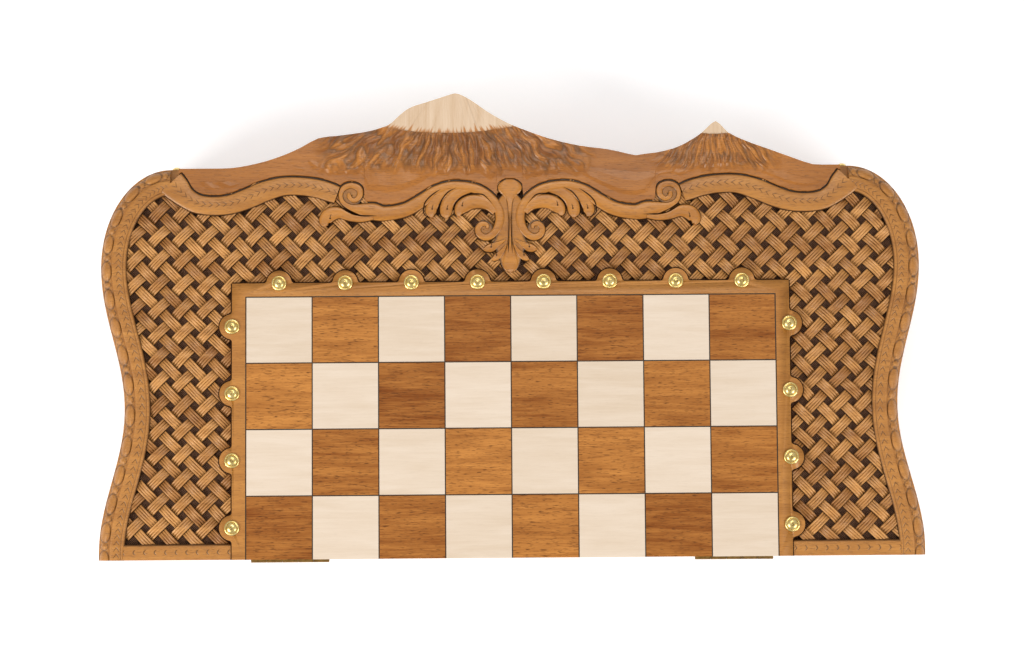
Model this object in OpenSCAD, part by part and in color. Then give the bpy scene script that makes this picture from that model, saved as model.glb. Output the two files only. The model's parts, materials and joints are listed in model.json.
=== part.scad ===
// Folding chess box of carved walnut. Two shallow trays are hinged along the straight edge, each
// carries half of the chessboard on its outside and six and six backgammon points inside. The edge
// away from the hinge is carved as a ridge with two snow-capped peaks.
// X runs along the hinge, Y from the hinge to the ridge, Z up, in millimetres. The closed box stands
// on the studs of its lower half, and the origin is below the middle of its bounding box.

/* [Chessboard] */
// Side of one playing square
square_side = 50; // [46:0.5:51]
// Depth of the row of squares along the hinge edge
edge_row = 47.5; // [44:0.5:50]
// Width of the dark lines between the squares
line_w = 0.9; // [0.6:0.1:1.5]
// Thickness of the inlaid squares
square_t = 3; // [2:0.5:4]
// How far the squares lie below the frame round them
square_drop = 0.2; // [0.1:0.1:0.6]
// Width of the plain frame round the board
frame_w = 10.5; // [9:0.5:12]
// Radius of the round lobe under each stud
lobe_r = 9.5; // [8:0.5:10.5]
// Radius of the hollow where a lobe meets the frame's edge
lobe_fillet_r = 2.5; // [1.5:0.5:3.5]

/* [Studs] */
// Diameter of a brass stud
stud_d = 11.6; // [9:0.2:14]
// Height of a stud's dome
stud_h = 3; // [2:0.2:4]
// Diameter of a stud's shank
stud_shank_d = 3; // [2:0.5:4]
// Length of a stud's shank
stud_shank_l = 6; // [4:0.5:7.5]
// How much more than a square the studs of one side step
stud_step_extra = 0.5; // [0:0.1:1]

/* [Case] */
// Height of one half, from the seam to the board's frame
half_h = 40; // [38:1:46]
// Height of the tray's walls in one half
tray_h = 24; // [20:1:26]
// Gap at the seam between the halves
seam = 0.3; // [0.2:0.1:0.6]
// Thickness of the panel under the carving
panel_t = 7; // [5:0.5:8]
// Carved field beside the board's frame where the sides are narrowest
waist_field_w = 82; // [76:1:90]
// How much further out the sides stand at the hinge edge
foot_swell = 19; // [12:1:24]
// How much further out the sides stand at the shoulders
shoulder_swell = 18.5; // [12:0.5:24]
// Distance of the waist from the hinge edge
waist_y = 113; // [100:1:125]
// Distance of the shoulders from the hinge edge
shoulder_y = 222; // [210:1:230]
// Length of the rounded shoulder along the front edge
shoulder_run = 53; // [48:1:58]
// Straight foot of the sides at the hinge edge
foot_rise = 5; // [2:1:10]
// Rounding of the corners at the hinge edge
foot_r = 4; // [2:0.5:4]
// Depth of the carved field between the board's frame and the front edge
field_d = 88; // [84:1:94]
// Width of the end rails at the waist
end_rail_w = 22.5; // [18:0.5:26]
// Width of the back rail, which takes the hinges
back_rail_w = 12; // [11.5:0.5:16]
// Width of the front rail at the clasps
front_rail_w = 16; // [14:0.5:20]

/* [Ridge] */
// Distance of the main peak from the middle
main_peak_x = -41.5; // [-48:0.5:-36]
// Height of the main peak over the clasp edge
main_peak_rise = 56.5; // [50:0.5:62]
// Distance of the small peak from the middle
small_peak_x = 157; // [152:0.5:162]
// Height of the small peak over the clasp edge
small_peak_rise = 34; // [30:0.5:38]
// How far the snow reaches left of the main peak
main_snow_left = 54.5; // [45:0.5:60]
// How far the snow reaches right of the main peak
main_snow_right = 45.5; // [38:0.5:52]
// How far the main snow line hangs below its ends
main_snow_sag = 5; // [2:0.5:8]
// How far the snow reaches left of the small peak
small_snow_left = 11; // [8:0.5:14]
// How far the snow reaches right of the small peak
small_snow_right = 10; // [8:0.5:13]
// How far the small snow line hangs below its ends
small_snow_sag = 0.8; // [0.4:0.2:2]
// Drop of the carved ridge at its outer edge
ridge_drop = 11; // [7:0.5:14]
// Depth of the chisel flutes below the snow
flute_depth = 1.1; // [0.6:0.1:1.6]
// Width of one chisel flute
flute_w = 12; // [10:1:16]

/* [Carving] */
// Width of the moulding along the sides
border_w = 20.5; // [18:0.5:24]
// Width of the moulding's sloping outer part
bevel_w = 9; // [7:0.5:10]
// Drop of the moulding's outer edge
bevel_drop = 6; // [4:0.5:7]
// Width of the strip along the hinge edge
strip_w = 12; // [10:0.5:14]
// How far the moulding lies below the board's frame
border_drop = 1.5; // [1:0.25:2.5]
// Repeat of the basket weave
weave_pitch = 18.4; // [17.6:0.2:20]
// Width of one strand of the weave
strand_w = 7.7; // [7:0.1:8.5]
// Gap between a strand's end and the strand that crosses there
strand_gap = 0.3; // [0.2:0.05:0.6]
// How far the highest strands lie below the board's frame
weave_drop = 3; // [2:0.25:4]
// Rise of a strand's arch over its ends
strand_arch = 2.6; // [1.5:0.1:3.5]
// Distance from the middle of one strand that leans to the right
weave_x = 9.4; // [0:0.1:18]
// Distance of that strand from the hinge edge
weave_y = 5.5; // [0:0.1:18]
// How far the crown of the scrollwork lies below the board's frame
scroll_drop = 0.8; // [0.5:0.1:2]
// Drop of the scrollwork from its crown to its edges
scroll_fall = 2.8; // [1.5:0.1:4]
// Width of the cut line round the scrollwork
groove_w = 0.8; // [0.6:0.1:1.2]

/* [Inside] */
// Thickness of the inlaid inner field
inner_t = 1.5; // [1:0.25:2.5]
// Length of a backgammon point
point_l = 196; // [150:2:220]
// Plain wood between two neighbouring points
point_gap = 6; // [4:0.5:10]

/* [Hinges] */
// Distance of each hinge from the middle
hinge_x = 170; // [120:5:200]
// Length of a hinge
hinge_l = 60; // [50:1:80]
// Diameter of the hinge knuckles
knuckle_d = 6; // [5:0.5:6.5]
// Diameter of the hinge pins
pin_d = 2.4; // [2:0.1:2.8]
// Reach of a hinge leaf over the back rail
leaf_w = 10.5; // [10:0.5:10.5]
// Thickness of a hinge leaf
leaf_t = 1.6; // [1.4:0.1:2]
// Distance between neighbouring screws of a leaf
screw_step = 20; // [16:1:22]
// Diameter of the screws' shanks
screw_d = 2.6; // [2:0.2:3]
// Diameter of the screws' heads
screw_head_d = 5; // [4:0.2:5.4]
// Length of the screws
screw_l = 11; // [8:1:14]

/* [Clasps] */
// Distance of each hook's pivot from the middle
hook_x = 256; // [253:0.5:257]
// Height of a hook's pivot over the seam
hook_pivot_h = 13; // [11:0.5:15]
// Depth of a hook's catch below the seam
hook_catch_h = 10; // [9:0.5:12]
// Thickness of a hook
hook_t = 1.6; // [1.2:0.1:2.2]
// Width of a hook's arm
hook_arm_w = 4.6; // [4:0.2:5]
// Radius of a hook's eye round its pivot
hook_eye_r = 3.6; // [3.2:0.1:4.2]
// Diameter of the pivot and catch necks
hook_neck_d = 3; // [2.4:0.1:3.2]
// Diameter of the domed heads in front of the hooks
hook_head_d = 7.5; // [6.5:0.1:9]
// Room round a catch neck in the mouth of its hook
mouth_gap = 0.9; // [0.6:0.1:0.9]
// How much deeper the mouth of a hook is cut than the neck needs
mouth_spare = 1.2; // [0.8:0.1:1.5]
// Height of the domed heads
hook_head_h = 2.2; // [1.6:0.1:3]
// How far the released hooks are swung towards the middle
hook_rest_angle = 28; // [24:1:34]

/* [Fits] */
// Gap round a pin or shank that turns or slides
running_gap = 0.05; // [0.02:0.01:0.08]
// Gap between faces that pass each other
side_gap = 0.3; // [0.2:0.05:0.4]
// Spare depth at the end of a drilled hole
hole_spare = 0.3; // [0.2:0.1:0.6]

/* [Hidden] */
$fn = 48;

// The board, measured from the hinge edge
board_half_w = 4 * square_side;
board_d = edge_row + 3 * square_side;
frame_half_w = board_half_w + frame_w;
frame_d = board_d + frame_w;
board_h = half_h - square_drop;

// The case in plan
front_y = frame_d + field_d;
waist_half_w = frame_half_w + waist_field_w;
foot_half_w = waist_half_w + foot_swell;
shoulder_half_w = waist_half_w + shoulder_swell;
shoulder_x = shoulder_half_w - shoulder_run;
border_end_x = shoulder_x - 2;
inner_half_w = waist_half_w - end_rail_w;
inner_back_y = back_rail_w;
inner_front_y = front_y - front_rail_w;
panel_h = tray_h + panel_t;
seam_h = seam / 2;
point_pitch = (inner_front_y - inner_back_y) / 6;

// The axes and the place of the closed box
knuckle_r = knuckle_d / 2;
hinge_axis_y = -seam_h;
middle_y = (front_y + main_peak_rise + hinge_axis_y - knuckle_r) / 2;
seam_z = half_h + stud_h;

// Steps of the curved outlines
side_steps = 30;
shoulder_steps = 14;
column = 7;
fine_column = 3.2;
big = 1000;

// The scrollwork is drawn for this half width and this front edge, and is stretched to the real ones
drawn_half_w = 258;
drawn_front = 296;
drawn_field = 88;
stretch_x = shoulder_x / drawn_half_w;
stretch_y = field_d / drawn_field;

function lerp(a, b, t) = a + (b - a) * t;
function ease(t) = (1 - cos(180 * t)) / 2;
function clamp(t) = max(0, min(1, t));
function flip(points) = [for (i = [len(points) - 1 : -1 : 0]) points[i]];
function mirrored(points) = [for (p = points) [-p[0], p[1]]];
// Where a coordinate of the drawn scrollwork lies on the real box
function drawn(p) = [p[0] * stretch_x, front_y - (drawn_front - p[1]) * stretch_y, p[2]];

// Half the width of the box at a distance from the hinge edge
function side_half_w(y) =
    y < foot_rise ? foot_half_w
    : y < waist_y ? lerp(foot_half_w, waist_half_w, ease((y - foot_rise) / (waist_y - foot_rise)))
    : lerp(waist_half_w, shoulder_half_w, ease((y - waist_y) / (shoulder_y - waist_y)));

// The right side, from the hinge edge over the shoulder to the clasp edge
side_curve = concat(
    [for (i = [0 : side_steps]) let (y = shoulder_y * i / side_steps) [side_half_w(y), y]],
    [for (i = [1 : shoulder_steps]) let (a = 90 * i / shoulder_steps)
        [shoulder_x + shoulder_run * cos(a), shoulder_y + (front_y - shoulder_y) * sin(a)]],
    [[border_end_x, front_y]]);

function heading(curve, i) =
    let (a = curve[max(i - 1, 0)], b = curve[min(i + 1, len(curve) - 1)], d = [b[0] - a[0], b[1] - a[1]])
    d / norm(d);
function left_of(d) = [-d[1], d[0]];
// A curve moved sideways to its left
function beside(curve, distance) =
    [for (i = [0 : len(curve) - 1]) [curve[i][0], curve[i][1]] + distance * left_of(heading(curve, i))];

// The flanks of the peaks: distance from the peak and share of its rise
main_left_flank = [[0, 1], [5, 0.975], [20, 0.89], [35, 0.8], [43, 0.69], [50, 0.58], [66, 0.49],
    [90, 0.43], [104, 0.4], [119, 0.26], [134, 0.15], [149, 0.07], [167, 0.01], [180, 0]];
main_right_flank = [[0, 1], [10, 0.93], [26, 0.735], [41, 0.585], [56, 0.475], [71, 0.38],
    [94, 0.28], [117, 0.225], [135, 0.15], [152, 0.08], [175, 0.02], [195, 0]];
small_left_flank = [[0, 1], [4, 0.92], [13, 0.685], [28, 0.435], [43, 0.31], [59, 0.25], [80, 0.1], [100, 0]];
small_right_flank = [[0, 1], [3, 0.94], [10, 0.73], [25, 0.52], [40, 0.36], [55, 0.2], [68, 0.06], [77, 0]];

function slope_at(table, i) =
    i == 0 || i == len(table) - 1 ? 0
    : (table[i + 1][1] - table[i - 1][1]) / (table[i + 1][0] - table[i - 1][0]);
// A smooth curve through the rows of a table, at x
function curve_at(table, x) =
    x <= table[0][0] ? table[0][1]
    : x >= table[len(table) - 1][0] ? table[len(table) - 1][1]
    : let (
        i = max([for (k = [0 : len(table) - 2]) if (table[k][0] <= x) k]),
        w = table[i + 1][0] - table[i][0],
        t = (x - table[i][0]) / w)
      (2 * t ^ 3 - 3 * t ^ 2 + 1) * table[i][1] + (t ^ 3 - 2 * t ^ 2 + t) * w * slope_at(table, i)
      + (3 * t ^ 2 - 2 * t ^ 3) * table[i + 1][1] + (t ^ 3 - t ^ 2) * w * slope_at(table, i + 1);
function peak_rise(x, peak_x, rise, left_flank, right_flank) =
    rise * curve_at(x < peak_x ? left_flank : right_flank, abs(x - peak_x));
function ridge_y(x) = front_y + max(
    peak_rise(x, main_peak_x, main_peak_rise, main_left_flank, main_right_flank),
    peak_rise(x, small_peak_x, small_peak_rise, small_left_flank, small_right_flank));

// The snow caps, each between two places on the ridge
caps = [
    [main_peak_x - main_snow_left, main_peak_x + main_snow_right, main_snow_sag, main_peak_x],
    [small_peak_x - small_snow_left, small_peak_x + small_snow_right, small_snow_sag, small_peak_x]];
function snow_y(cap, x) =
    let (t = (x - cap[0]) / (cap[1] - cap[0]))
    lerp(ridge_y(cap[0]), ridge_y(cap[1]), t) - 4 * cap[2] * t * (1 - t);
function cap_at(x) = [for (cap = caps) if (x > cap[0] && x < cap[1]) cap];
// Outer edge of the walnut, which stops at the snow
function walnut_y(x) = len(cap_at(x)) == 0 ? ridge_y(x) : snow_y(cap_at(x)[0], x);

// Places along X at which the ridge is drawn, close together round the peaks
tip_x = shoulder_x - 6.5;
cap_tip = 0.5;
flank = 36;
ridge_stops = [-tip_x, caps[0][0] - flank, caps[0][0], caps[0][0] + cap_tip, main_peak_x,
    caps[0][1] - cap_tip, caps[0][1], caps[0][1] + flank, caps[1][0] - flank, caps[1][0],
    caps[1][0] + cap_tip, small_peak_x, caps[1][1] - cap_tip, caps[1][1], caps[1][1] + flank, tip_x];
function near_peak(x) = min([for (cap = caps) max(cap[0] - x, x - cap[1])]) < flank - 1;
function steps(a, b) =
    let (n = ceil((b - a) / (near_peak((a + b) / 2) ? fine_column : column)))
    [for (i = [0 : n - 1]) lerp(a, b, i / n)];
columns = concat(
    [for (i = [0 : len(ridge_stops) - 2]) each steps(ridge_stops[i], ridge_stops[i + 1])],
    [tip_x]);

// Lower edge of the scrollwork on the left side, where the basket weave ends
lower_edge = [[-262, 271.5], [-256, 268], [-251, 264.4], [-246, 262], [-239.6, 260.2], [-227.3, 258.9],
    [-214.9, 259.6], [-202.6, 261.9], [-190.3, 267], [-178, 271.8], [-165.7, 273.1], [-155, 271.8],
    [-149.5, 265], [-147, 256], [-144.2, 250], [-139.4, 248.4], [-133, 251.6], [-116.1, 254.9],
    [-99.7, 253.8], [-85, 255.8], [-73.5, 257.6], [-61, 257], [-48, 256.8], [-37, 255.8], [-28.8, 247], [-25, 239], [-19.8, 230],
    [-13.8, 223], [-6.6, 216.2], [0, 213.6]];
// The scrollwork of the left side: points of each stem, with half its width there
ribbon = [[-262, 289, 11.5], [-252.5, 280.5, 10.4], [-246, 274, 8.4], [-237, 269, 7.7],
    [-225, 267.4, 7.6], [-212, 268.5, 7.8], [-199.5, 272.6, 8.2], [-186.5, 278, 8.2],
    [-172, 281.9, 7.5], [-157, 281.8, 7.4], [-145, 279.8, 7.6], [-137, 277.3, 7.6], [-131.4, 275.2, 7.2]];
scroll = [[-122, 276.4, 1.5], [-121.9, 273.8, 2.4], [-120.4, 271.6, 2.2], [-117.3, 270.9, 2.4],
    [-113.8, 274.6, 2.9], [-114.6, 279.8, 3.2], [-120.3, 282.2, 2.9], [-126, 280.2, 2.8],
    [-128.4, 275, 2.2], [-126.6, 269.4, 2.3], [-120.6, 265.6, 3], [-112.5, 264, 5.2], [-104, 262.4, 7],
    [-95, 260.7, 6.1], [-80, 263.2, 5.8], [-68, 269.6, 5.4], [-62.5, 275.2, 3.4], [-56, 279.2, 2.9],
    [-45, 281.8, 3.4], [-34, 280.6, 4.7], [-23, 278, 4.3], [-14.5, 272, 4.2], [-9.3, 265, 4.2],
    [-7.6, 257, 4.1], [-9.2, 250, 3.9], [-12.9, 244.7, 3.6], [-18.2, 242, 3.3], [-23, 244.2, 3.2],
    [-24.4, 248.6, 3], [-21.6, 252.2, 2.7], [-17.6, 251.6, 2.2], [-17.2, 248.8, 1.4]];
outer_leaf = [[-113.5, 255.9, 0.8], [-121, 257.6, 2.6], [-129, 261.4, 4.4], [-136, 260.4, 6],
    [-140, 255.2, 5.4], [-139.6, 251.4, 2.4]];
outer_lobe = [[-54.8, 274.8, 0.8], [-56.8, 272.6, 2.2], [-58.2, 269.4, 3.2], [-59.4, 264.6, 4.5],
    [-59.8, 260.6, 4.6], [-59.8, 258, 2.4]];
middle_lobe = [[-43, 276.4, 1.2], [-45.4, 273.6, 3.6], [-47.4, 269.6, 4.6], [-48.3, 265, 5.2],
    [-48.2, 260.6, 4.9], [-48.2, 257.9, 2.6]];
inner_lobe = [[-16, 262, 0.8], [-20.5, 267, 3.4], [-27, 269.3, 4.9], [-33.6, 267.9, 5.4],
    [-37.4, 263.4, 4.7], [-37.6, 259, 2.4]];
upper_leaf = [[-5, 238.6, 0.6], [-9, 236.6, 1.6], [-13.5, 234, 2.8], [-17.6, 233, 2.8], [-19.8, 232.8, 1.2]];
lower_leaf = [[-4.4, 235.4, 0.6], [-6.8, 232, 1.6], [-9.8, 228.6, 2.4], [-12.4, 226, 2.2],
    [-13.6, 224.8, 0.8]];
palmette = [[0, 286.6, 2.5], [0, 285, 7], [0, 281.5, 10], [0, 277.5, 9.6], [0, 272.5, 4.8], [0, 267, 2.4],
    [0, 260, 1.8], [0, 248, 1.8], [0, 240, 2.2], [0, 233, 4.2], [0, 226, 6.6], [0, 220.5, 7.4],
    [0, 217, 5], [0, 215.6, 2]];
left_stems = [ribbon, scroll, outer_leaf, outer_lobe, middle_lobe, inner_lobe, upper_leaf, lower_leaf];
// A smooth stem through its points, two steps from each to the next
function spline(p, i, t) =
    let (a = p[max(i - 1, 0)], b = p[i], c = p[i + 1], d = p[min(i + 2, len(p) - 1)])
    b + t / 2 * (c - a) + t ^ 2 * (a - 2.5 * b + 2 * c - d / 2) + t ^ 3 / 2 * (3 * b - a - 3 * c + d);
function stem(points) =
    let (p = [for (q = points) drawn(q)], n = len(p) - 1)
    concat([for (i = [0 : n - 1], t = [0, 0.5]) spline(p, i, t)], [p[n]]);
function edge(s, side, extra) =
    [for (i = [0 : len(s) - 1]) [s[i][0], s[i][1]] + side * (s[i][2] + extra) * left_of(heading(s, i))];
stems = [for (points = left_stems) stem(points)];
middle_stem = stem(palmette);

// Highest place of an outline at x
function reach(outline, x) =
    let (n = len(outline), hits = [for (i = [0 : n - 1])
        let (a = outline[i], b = outline[(i + 1) % n])
        if ((a[0] - x) * (b[0] - x) <= 0 && a[0] != b[0]) lerp(a[1], b[1], (x - a[0]) / (b[0] - a[0]))])
    len(hits) == 0 ? 0 : max(hits);
function stem_outline(s, extra) = concat(edge(s, 1, extra), flip(edge(s, -1, extra)));
top_outlines = [stem_outline(stems[0], 0), stem_outline(stems[1], 0), stem_outline(middle_stem, 0)];
// Upper edge of the scrollwork at x
function scroll_top(x) = max([for (o = top_outlines, d = [-1.7, -0.8, 0, 0.8, 1.7]) reach(o, -abs(x) + d)]);
// Inner edge of the ridge block, clear of the scrollwork
ridge_foot = [for (x = columns) min(scroll_top(x) + groove_w, front_y - 0.5)];
ridge_foot_line = concat([[-tip_x, front_y]], [for (i = [0 : len(columns) - 1]) [columns[i], ridge_foot[i]]],
    [[tip_x, front_y]]);

// Surface of the carved ridge: it rounds over towards its outer edge, and flutes run down from the snow
function flutes(x, y) =
    let (
        cap = abs(x - main_peak_x) < abs(x - small_peak_x) ? caps[0] : caps[1],
        below = walnut_y(x) - y,
        reach_down = cap[2] > 2 ? 40 : 22,
        spread = (x - cap[3]) / (1 + below / 60),
        fade = clamp(1 - below / reach_down) * clamp(below / 4) * clamp(2 - abs(spread) / (cap[1] - cap[0])))
    flute_depth * fade * cos(360 * spread / flute_w);
function ridge_surface(x, y) =
    let (
        run = 15 + 0.5 * (ridge_y(x) - front_y),
        over = clamp(1 - (ridge_y(x) - y) / run),
        low = clamp((scroll_top(x) + 9 - y) / 9))
    half_h - scroll_drop - ridge_drop * (1 - sqrt(1 - over ^ 2 * 0.96)) - 2 * low ^ 2
    - flutes(x, y) - flute_depth;

module on_lid() translate([0, -middle_y, seam_z]) children();
module on_base() translate([0, -middle_y, seam_z]) mirror([0, 0, 1]) children();
module both_sides() {
    children();
    mirror([1, 0, 0]) children();
}
module slab(low, high) translate([0, 0, low]) linear_extrude(high - low) children();

// Plan of one half, without the snow caps
module case_plan() {
    intersection() {
        polygon(concat(side_curve, [for (x = flip(columns)) [x, walnut_y(x)]], mirrored(flip(side_curve))));
        foot_corners();
    }
}
module foot_corners() {
    translate([-foot_half_w, foot_r]) square([2 * foot_half_w, big]);
    translate([foot_r - foot_half_w, 0]) square([2 * (foot_half_w - foot_r), 2 * foot_r]);
    for (x = [foot_r - foot_half_w, foot_half_w - foot_r]) translate([x, foot_r]) circle(foot_r);
}

// The rails of one tray
module front_rail_plan() intersection() {
    case_plan();
    translate([-inner_half_w, inner_front_y]) square([2 * inner_half_w, big]);
}
module end_rail_plan() intersection() {
    case_plan();
    translate([inner_half_w, 0]) square([big, big]);
}
module front_rail(drill_h) difference() {
    slab(seam_h, tray_h) front_rail_plan();
    for (x = [-hook_x, hook_x]) translate([x, front_y, drill_h]) rotate([90, 0, 0])
        translate([0, 0, -1]) cylinder(r = hook_neck_d / 2 + running_gap, h = neck_seat + hole_spare + 1);
}
module end_rail() slab(seam_h, tray_h) end_rail_plan();
module back_rail() difference() {
    translate([-inner_half_w, 0, seam_h]) cube([2 * inner_half_w, back_rail_w, tray_h - seam_h]);
    for (x = [-hinge_x, hinge_x]) translate([x, 0, 0]) {
        translate([-mortise_l / 2, -1, -1]) cube([mortise_l, leaf_w + side_gap + 1, seam_h + leaf_t + 1]);
        translate([-mortise_l / 2, hinge_axis_y, 0]) rotate([0, 90, 0])
            cylinder(r = knuckle_r + side_gap, h = mortise_l);
        for (i = [-1 : 1]) translate([i * screw_step, screw_y, 0])
            cylinder(r = screw_d / 2 + running_gap, h = seam_h + screw_l + hole_spare);
    }
}
mortise_l = hinge_l + 2 * side_gap;
screw_y = (knuckle_r + side_gap + leaf_w) / 2;
neck_seat = 10;

// The panel that closes a tray, with the raised pad for the squares and the seat of the inner field
module panel() {
    slab(tray_h, panel_h) intersection() {
        polygon(concat(side_curve, flip(ridge_foot_line), mirrored(flip(side_curve))));
        foot_corners();
    }
    translate([-pad_half_w, 0, panel_h]) cube([2 * pad_half_w, pad_d, board_h - square_t - panel_h]);
}
pad_half_w = board_half_w + line_w / 2;
pad_d = board_d + line_w / 2;

// The frame round the board, open at the hinge edge
side_stud_y = [for (i = [0 : 3]) edge_row / 2 + i * (square_side + stud_step_extra)];
stud_places = concat(
    [for (i = [-3.5 : 3.5]) [i * square_side, frame_d]],
    [for (y = side_stud_y, x = [-frame_half_w, frame_half_w]) [x, y]]);
lobe_spread = sqrt((lobe_r + lobe_fillet_r) ^ 2 - lobe_fillet_r ^ 2);
lobe_lean = asin(lobe_fillet_r / (lobe_r + lobe_fillet_r));
lobe_steps = 14;
hollow_steps = 5;
// A lobe with a hollow on either side, as steps along the frame's edge and out from it
hollow = [for (i = [0 : hollow_steps - 1]) let (a = lerp(270, 360 - lobe_lean, i / hollow_steps))
    [-lobe_spread, lobe_fillet_r] + lobe_fillet_r * [cos(a), sin(a)]];
lobe = concat(hollow, [for (i = [0 : lobe_steps]) let (a = lerp(180 - lobe_lean, lobe_lean, i / lobe_steps))
    lobe_r * [cos(a), sin(a)]], mirrored(flip(hollow)));
module frame_outer_plan() polygon(concat(
    [[-frame_half_w, 0], [frame_half_w, 0]],
    [for (y = side_stud_y, q = lobe) [frame_half_w + q[1], y + q[0]]],
    [[frame_half_w, frame_d]],
    [for (i = [3.5 : -1 : -3.5], q = lobe) [i * square_side - q[0], frame_d + q[1]]],
    [[-frame_half_w, frame_d]],
    [for (y = flip(side_stud_y), q = lobe) [-frame_half_w - q[1], y - q[0]]]));
module board_frame() difference() {
    slab(panel_h, half_h) frame_outer_plan();
    translate([-pad_half_w, -1, panel_h - 1]) cube([2 * pad_half_w, pad_d + 1, half_h - panel_h + 2]);
    for (p = stud_places) translate([p[0], p[1], half_h - stud_shank_l - hole_spare])
        cylinder(r = stud_shank_d / 2 + running_gap, h = stud_shank_l + hole_spare + 1);
}

// The inlaid squares, those of one colour or the other
row_edges = [for (i = [0 : 4]) i == 0 ? 0 : edge_row + (i - 1) * square_side];
module squares(odd) {
    for (row = [0 : 3], file = [0 : 7]) if ((row + file) % 2 == odd)
        let (near_y = row == 0 ? 0 : row_edges[row] + line_w / 2, far_y = row_edges[row + 1] - line_w / 2)
            translate([(file - 4) * square_side + line_w / 2, near_y, board_h - square_t])
                cube([square_side - line_w, far_y - near_y, square_t]);
}
module stringing() {
    for (i = [-4 : 4]) translate([i * square_side - line_w / 2, 0, board_h - square_t])
        cube([line_w, pad_d, square_t]);
    for (i = [1 : 4]) translate([-pad_half_w, row_edges[i] - line_w / 2, board_h - square_t])
        cube([2 * pad_half_w, line_w, square_t]);
}
dome_r = ((stud_d / 2) ^ 2 + stud_h ^ 2) / (2 * stud_h);
module stud() {
    translate([0, 0, -stud_shank_l]) cylinder(d = stud_shank_d, h = stud_shank_l);
    rotate_extrude() intersection() {
        translate([0, stud_h - dome_r]) circle(dome_r);
        square([stud_d / 2, stud_h]);
    }
}
module studs() for (p = stud_places) translate([p[0], p[1], half_h]) stud();

// The moulding along the sides, swept along the side curve, and the strips along the hinge edge
border_h = half_h - border_drop;
border_profile = [[0, panel_h], [0, border_h - bevel_drop], [bevel_w * 0.45, border_h - bevel_drop * 0.35],
    [bevel_w, border_h], [border_w, border_h], [border_w, panel_h]];
module side_moulding() {
    rings = [for (p = border_profile) beside(side_curve, p[0])];
    n = len(side_curve);
    m = len(border_profile);
    polyhedron(
        points = [for (i = [0 : n - 1], k = [0 : m - 1])
            [rings[k][i][0], rings[k][i][1], border_profile[k][1]]],
        faces = concat(
            [for (i = [0 : n - 2], k = [0 : m - 1]) let (a = i * m + k, b = i * m + (k + 1) % m)
                each [[a, b, a + m], [b, b + m, a + m]]],
            [[for (k = [m - 1 : -1 : 0]) k], [for (k = [0 : m - 1]) (n - 1) * m + k]]));
}
inner_curve = beside(side_curve, border_w);
module border() both_sides() {
    intersection() {
        side_moulding();
        slab(panel_h - 1, half_h) foot_corners();
    }
    slab(panel_h, border_h) difference() {
        translate([frame_half_w, 0]) square([foot_half_w - frame_half_w, strip_w]);
        polygon(concat(side_curve, flip(inner_curve)));
        frame_outer_plan();
        translate([foot_half_w - border_w, 0]) square([border_w, strip_w]);
    }
}

// The basket weave: strands that lean right and left, each arched between the two that cross it
strand_l = weave_pitch * sqrt(2) - strand_w - strand_gap;
weave_top = half_h - weave_drop;
arch_r = ((strand_l / 2) ^ 2 + strand_arch ^ 2) / (2 * strand_arch);
module strand() rotate([90, 0, 0]) translate([0, 0, -strand_w / 2]) linear_extrude(strand_w) intersection() {
    translate([0, weave_top - arch_r]) circle(arch_r);
    translate([-strand_l / 2, panel_h]) square([strand_l, big]);
}
weave_columns = ceil(foot_half_w / weave_pitch);
weave_rows = ceil(front_y / weave_pitch);
// Fifteen spots on a strand, from corner to corner
function spots(p, lean) =
    let (u = [sqrt(0.5), lean == 0 ? sqrt(0.5) : -sqrt(0.5)], v = [-u[1], u[0]])
    [for (i = [-0.5 : 0.25 : 0.5], j = [-0.5 : 0.5 : 0.5]) p + i * strand_l * u + j * strand_w * v];
field_edge = [for (q = lower_edge) let (r = drawn([q[0], q[1], 0])) [r[0], r[1]]];
full_edge = concat(
    field_edge,
    [for (i = [len(field_edge) - 2 : -1 : 0]) [-field_edge[i][0], field_edge[i][1]]]);
inner_side = [for (q = inner_curve) [q[1], q[0]]];
function near_lobe(q, room) = len([for (p = stud_places) if (norm(p - q) < lobe_r + room) 1]) > 0;
function in_field(q, room) = q[1] > strip_w + room && abs(q[0]) < lookup(q[1], inner_side) - room
    && q[1] < lookup(q[0], full_edge) - 1.4 * room
    && (abs(q[0]) > frame_half_w + room || q[1] > frame_d + room) && !near_lobe(q, 1.5 * room);
function inside(p, lean, room) = len([for (q = spots(p, lean)) if (in_field(q, room)) 1]);
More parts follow.
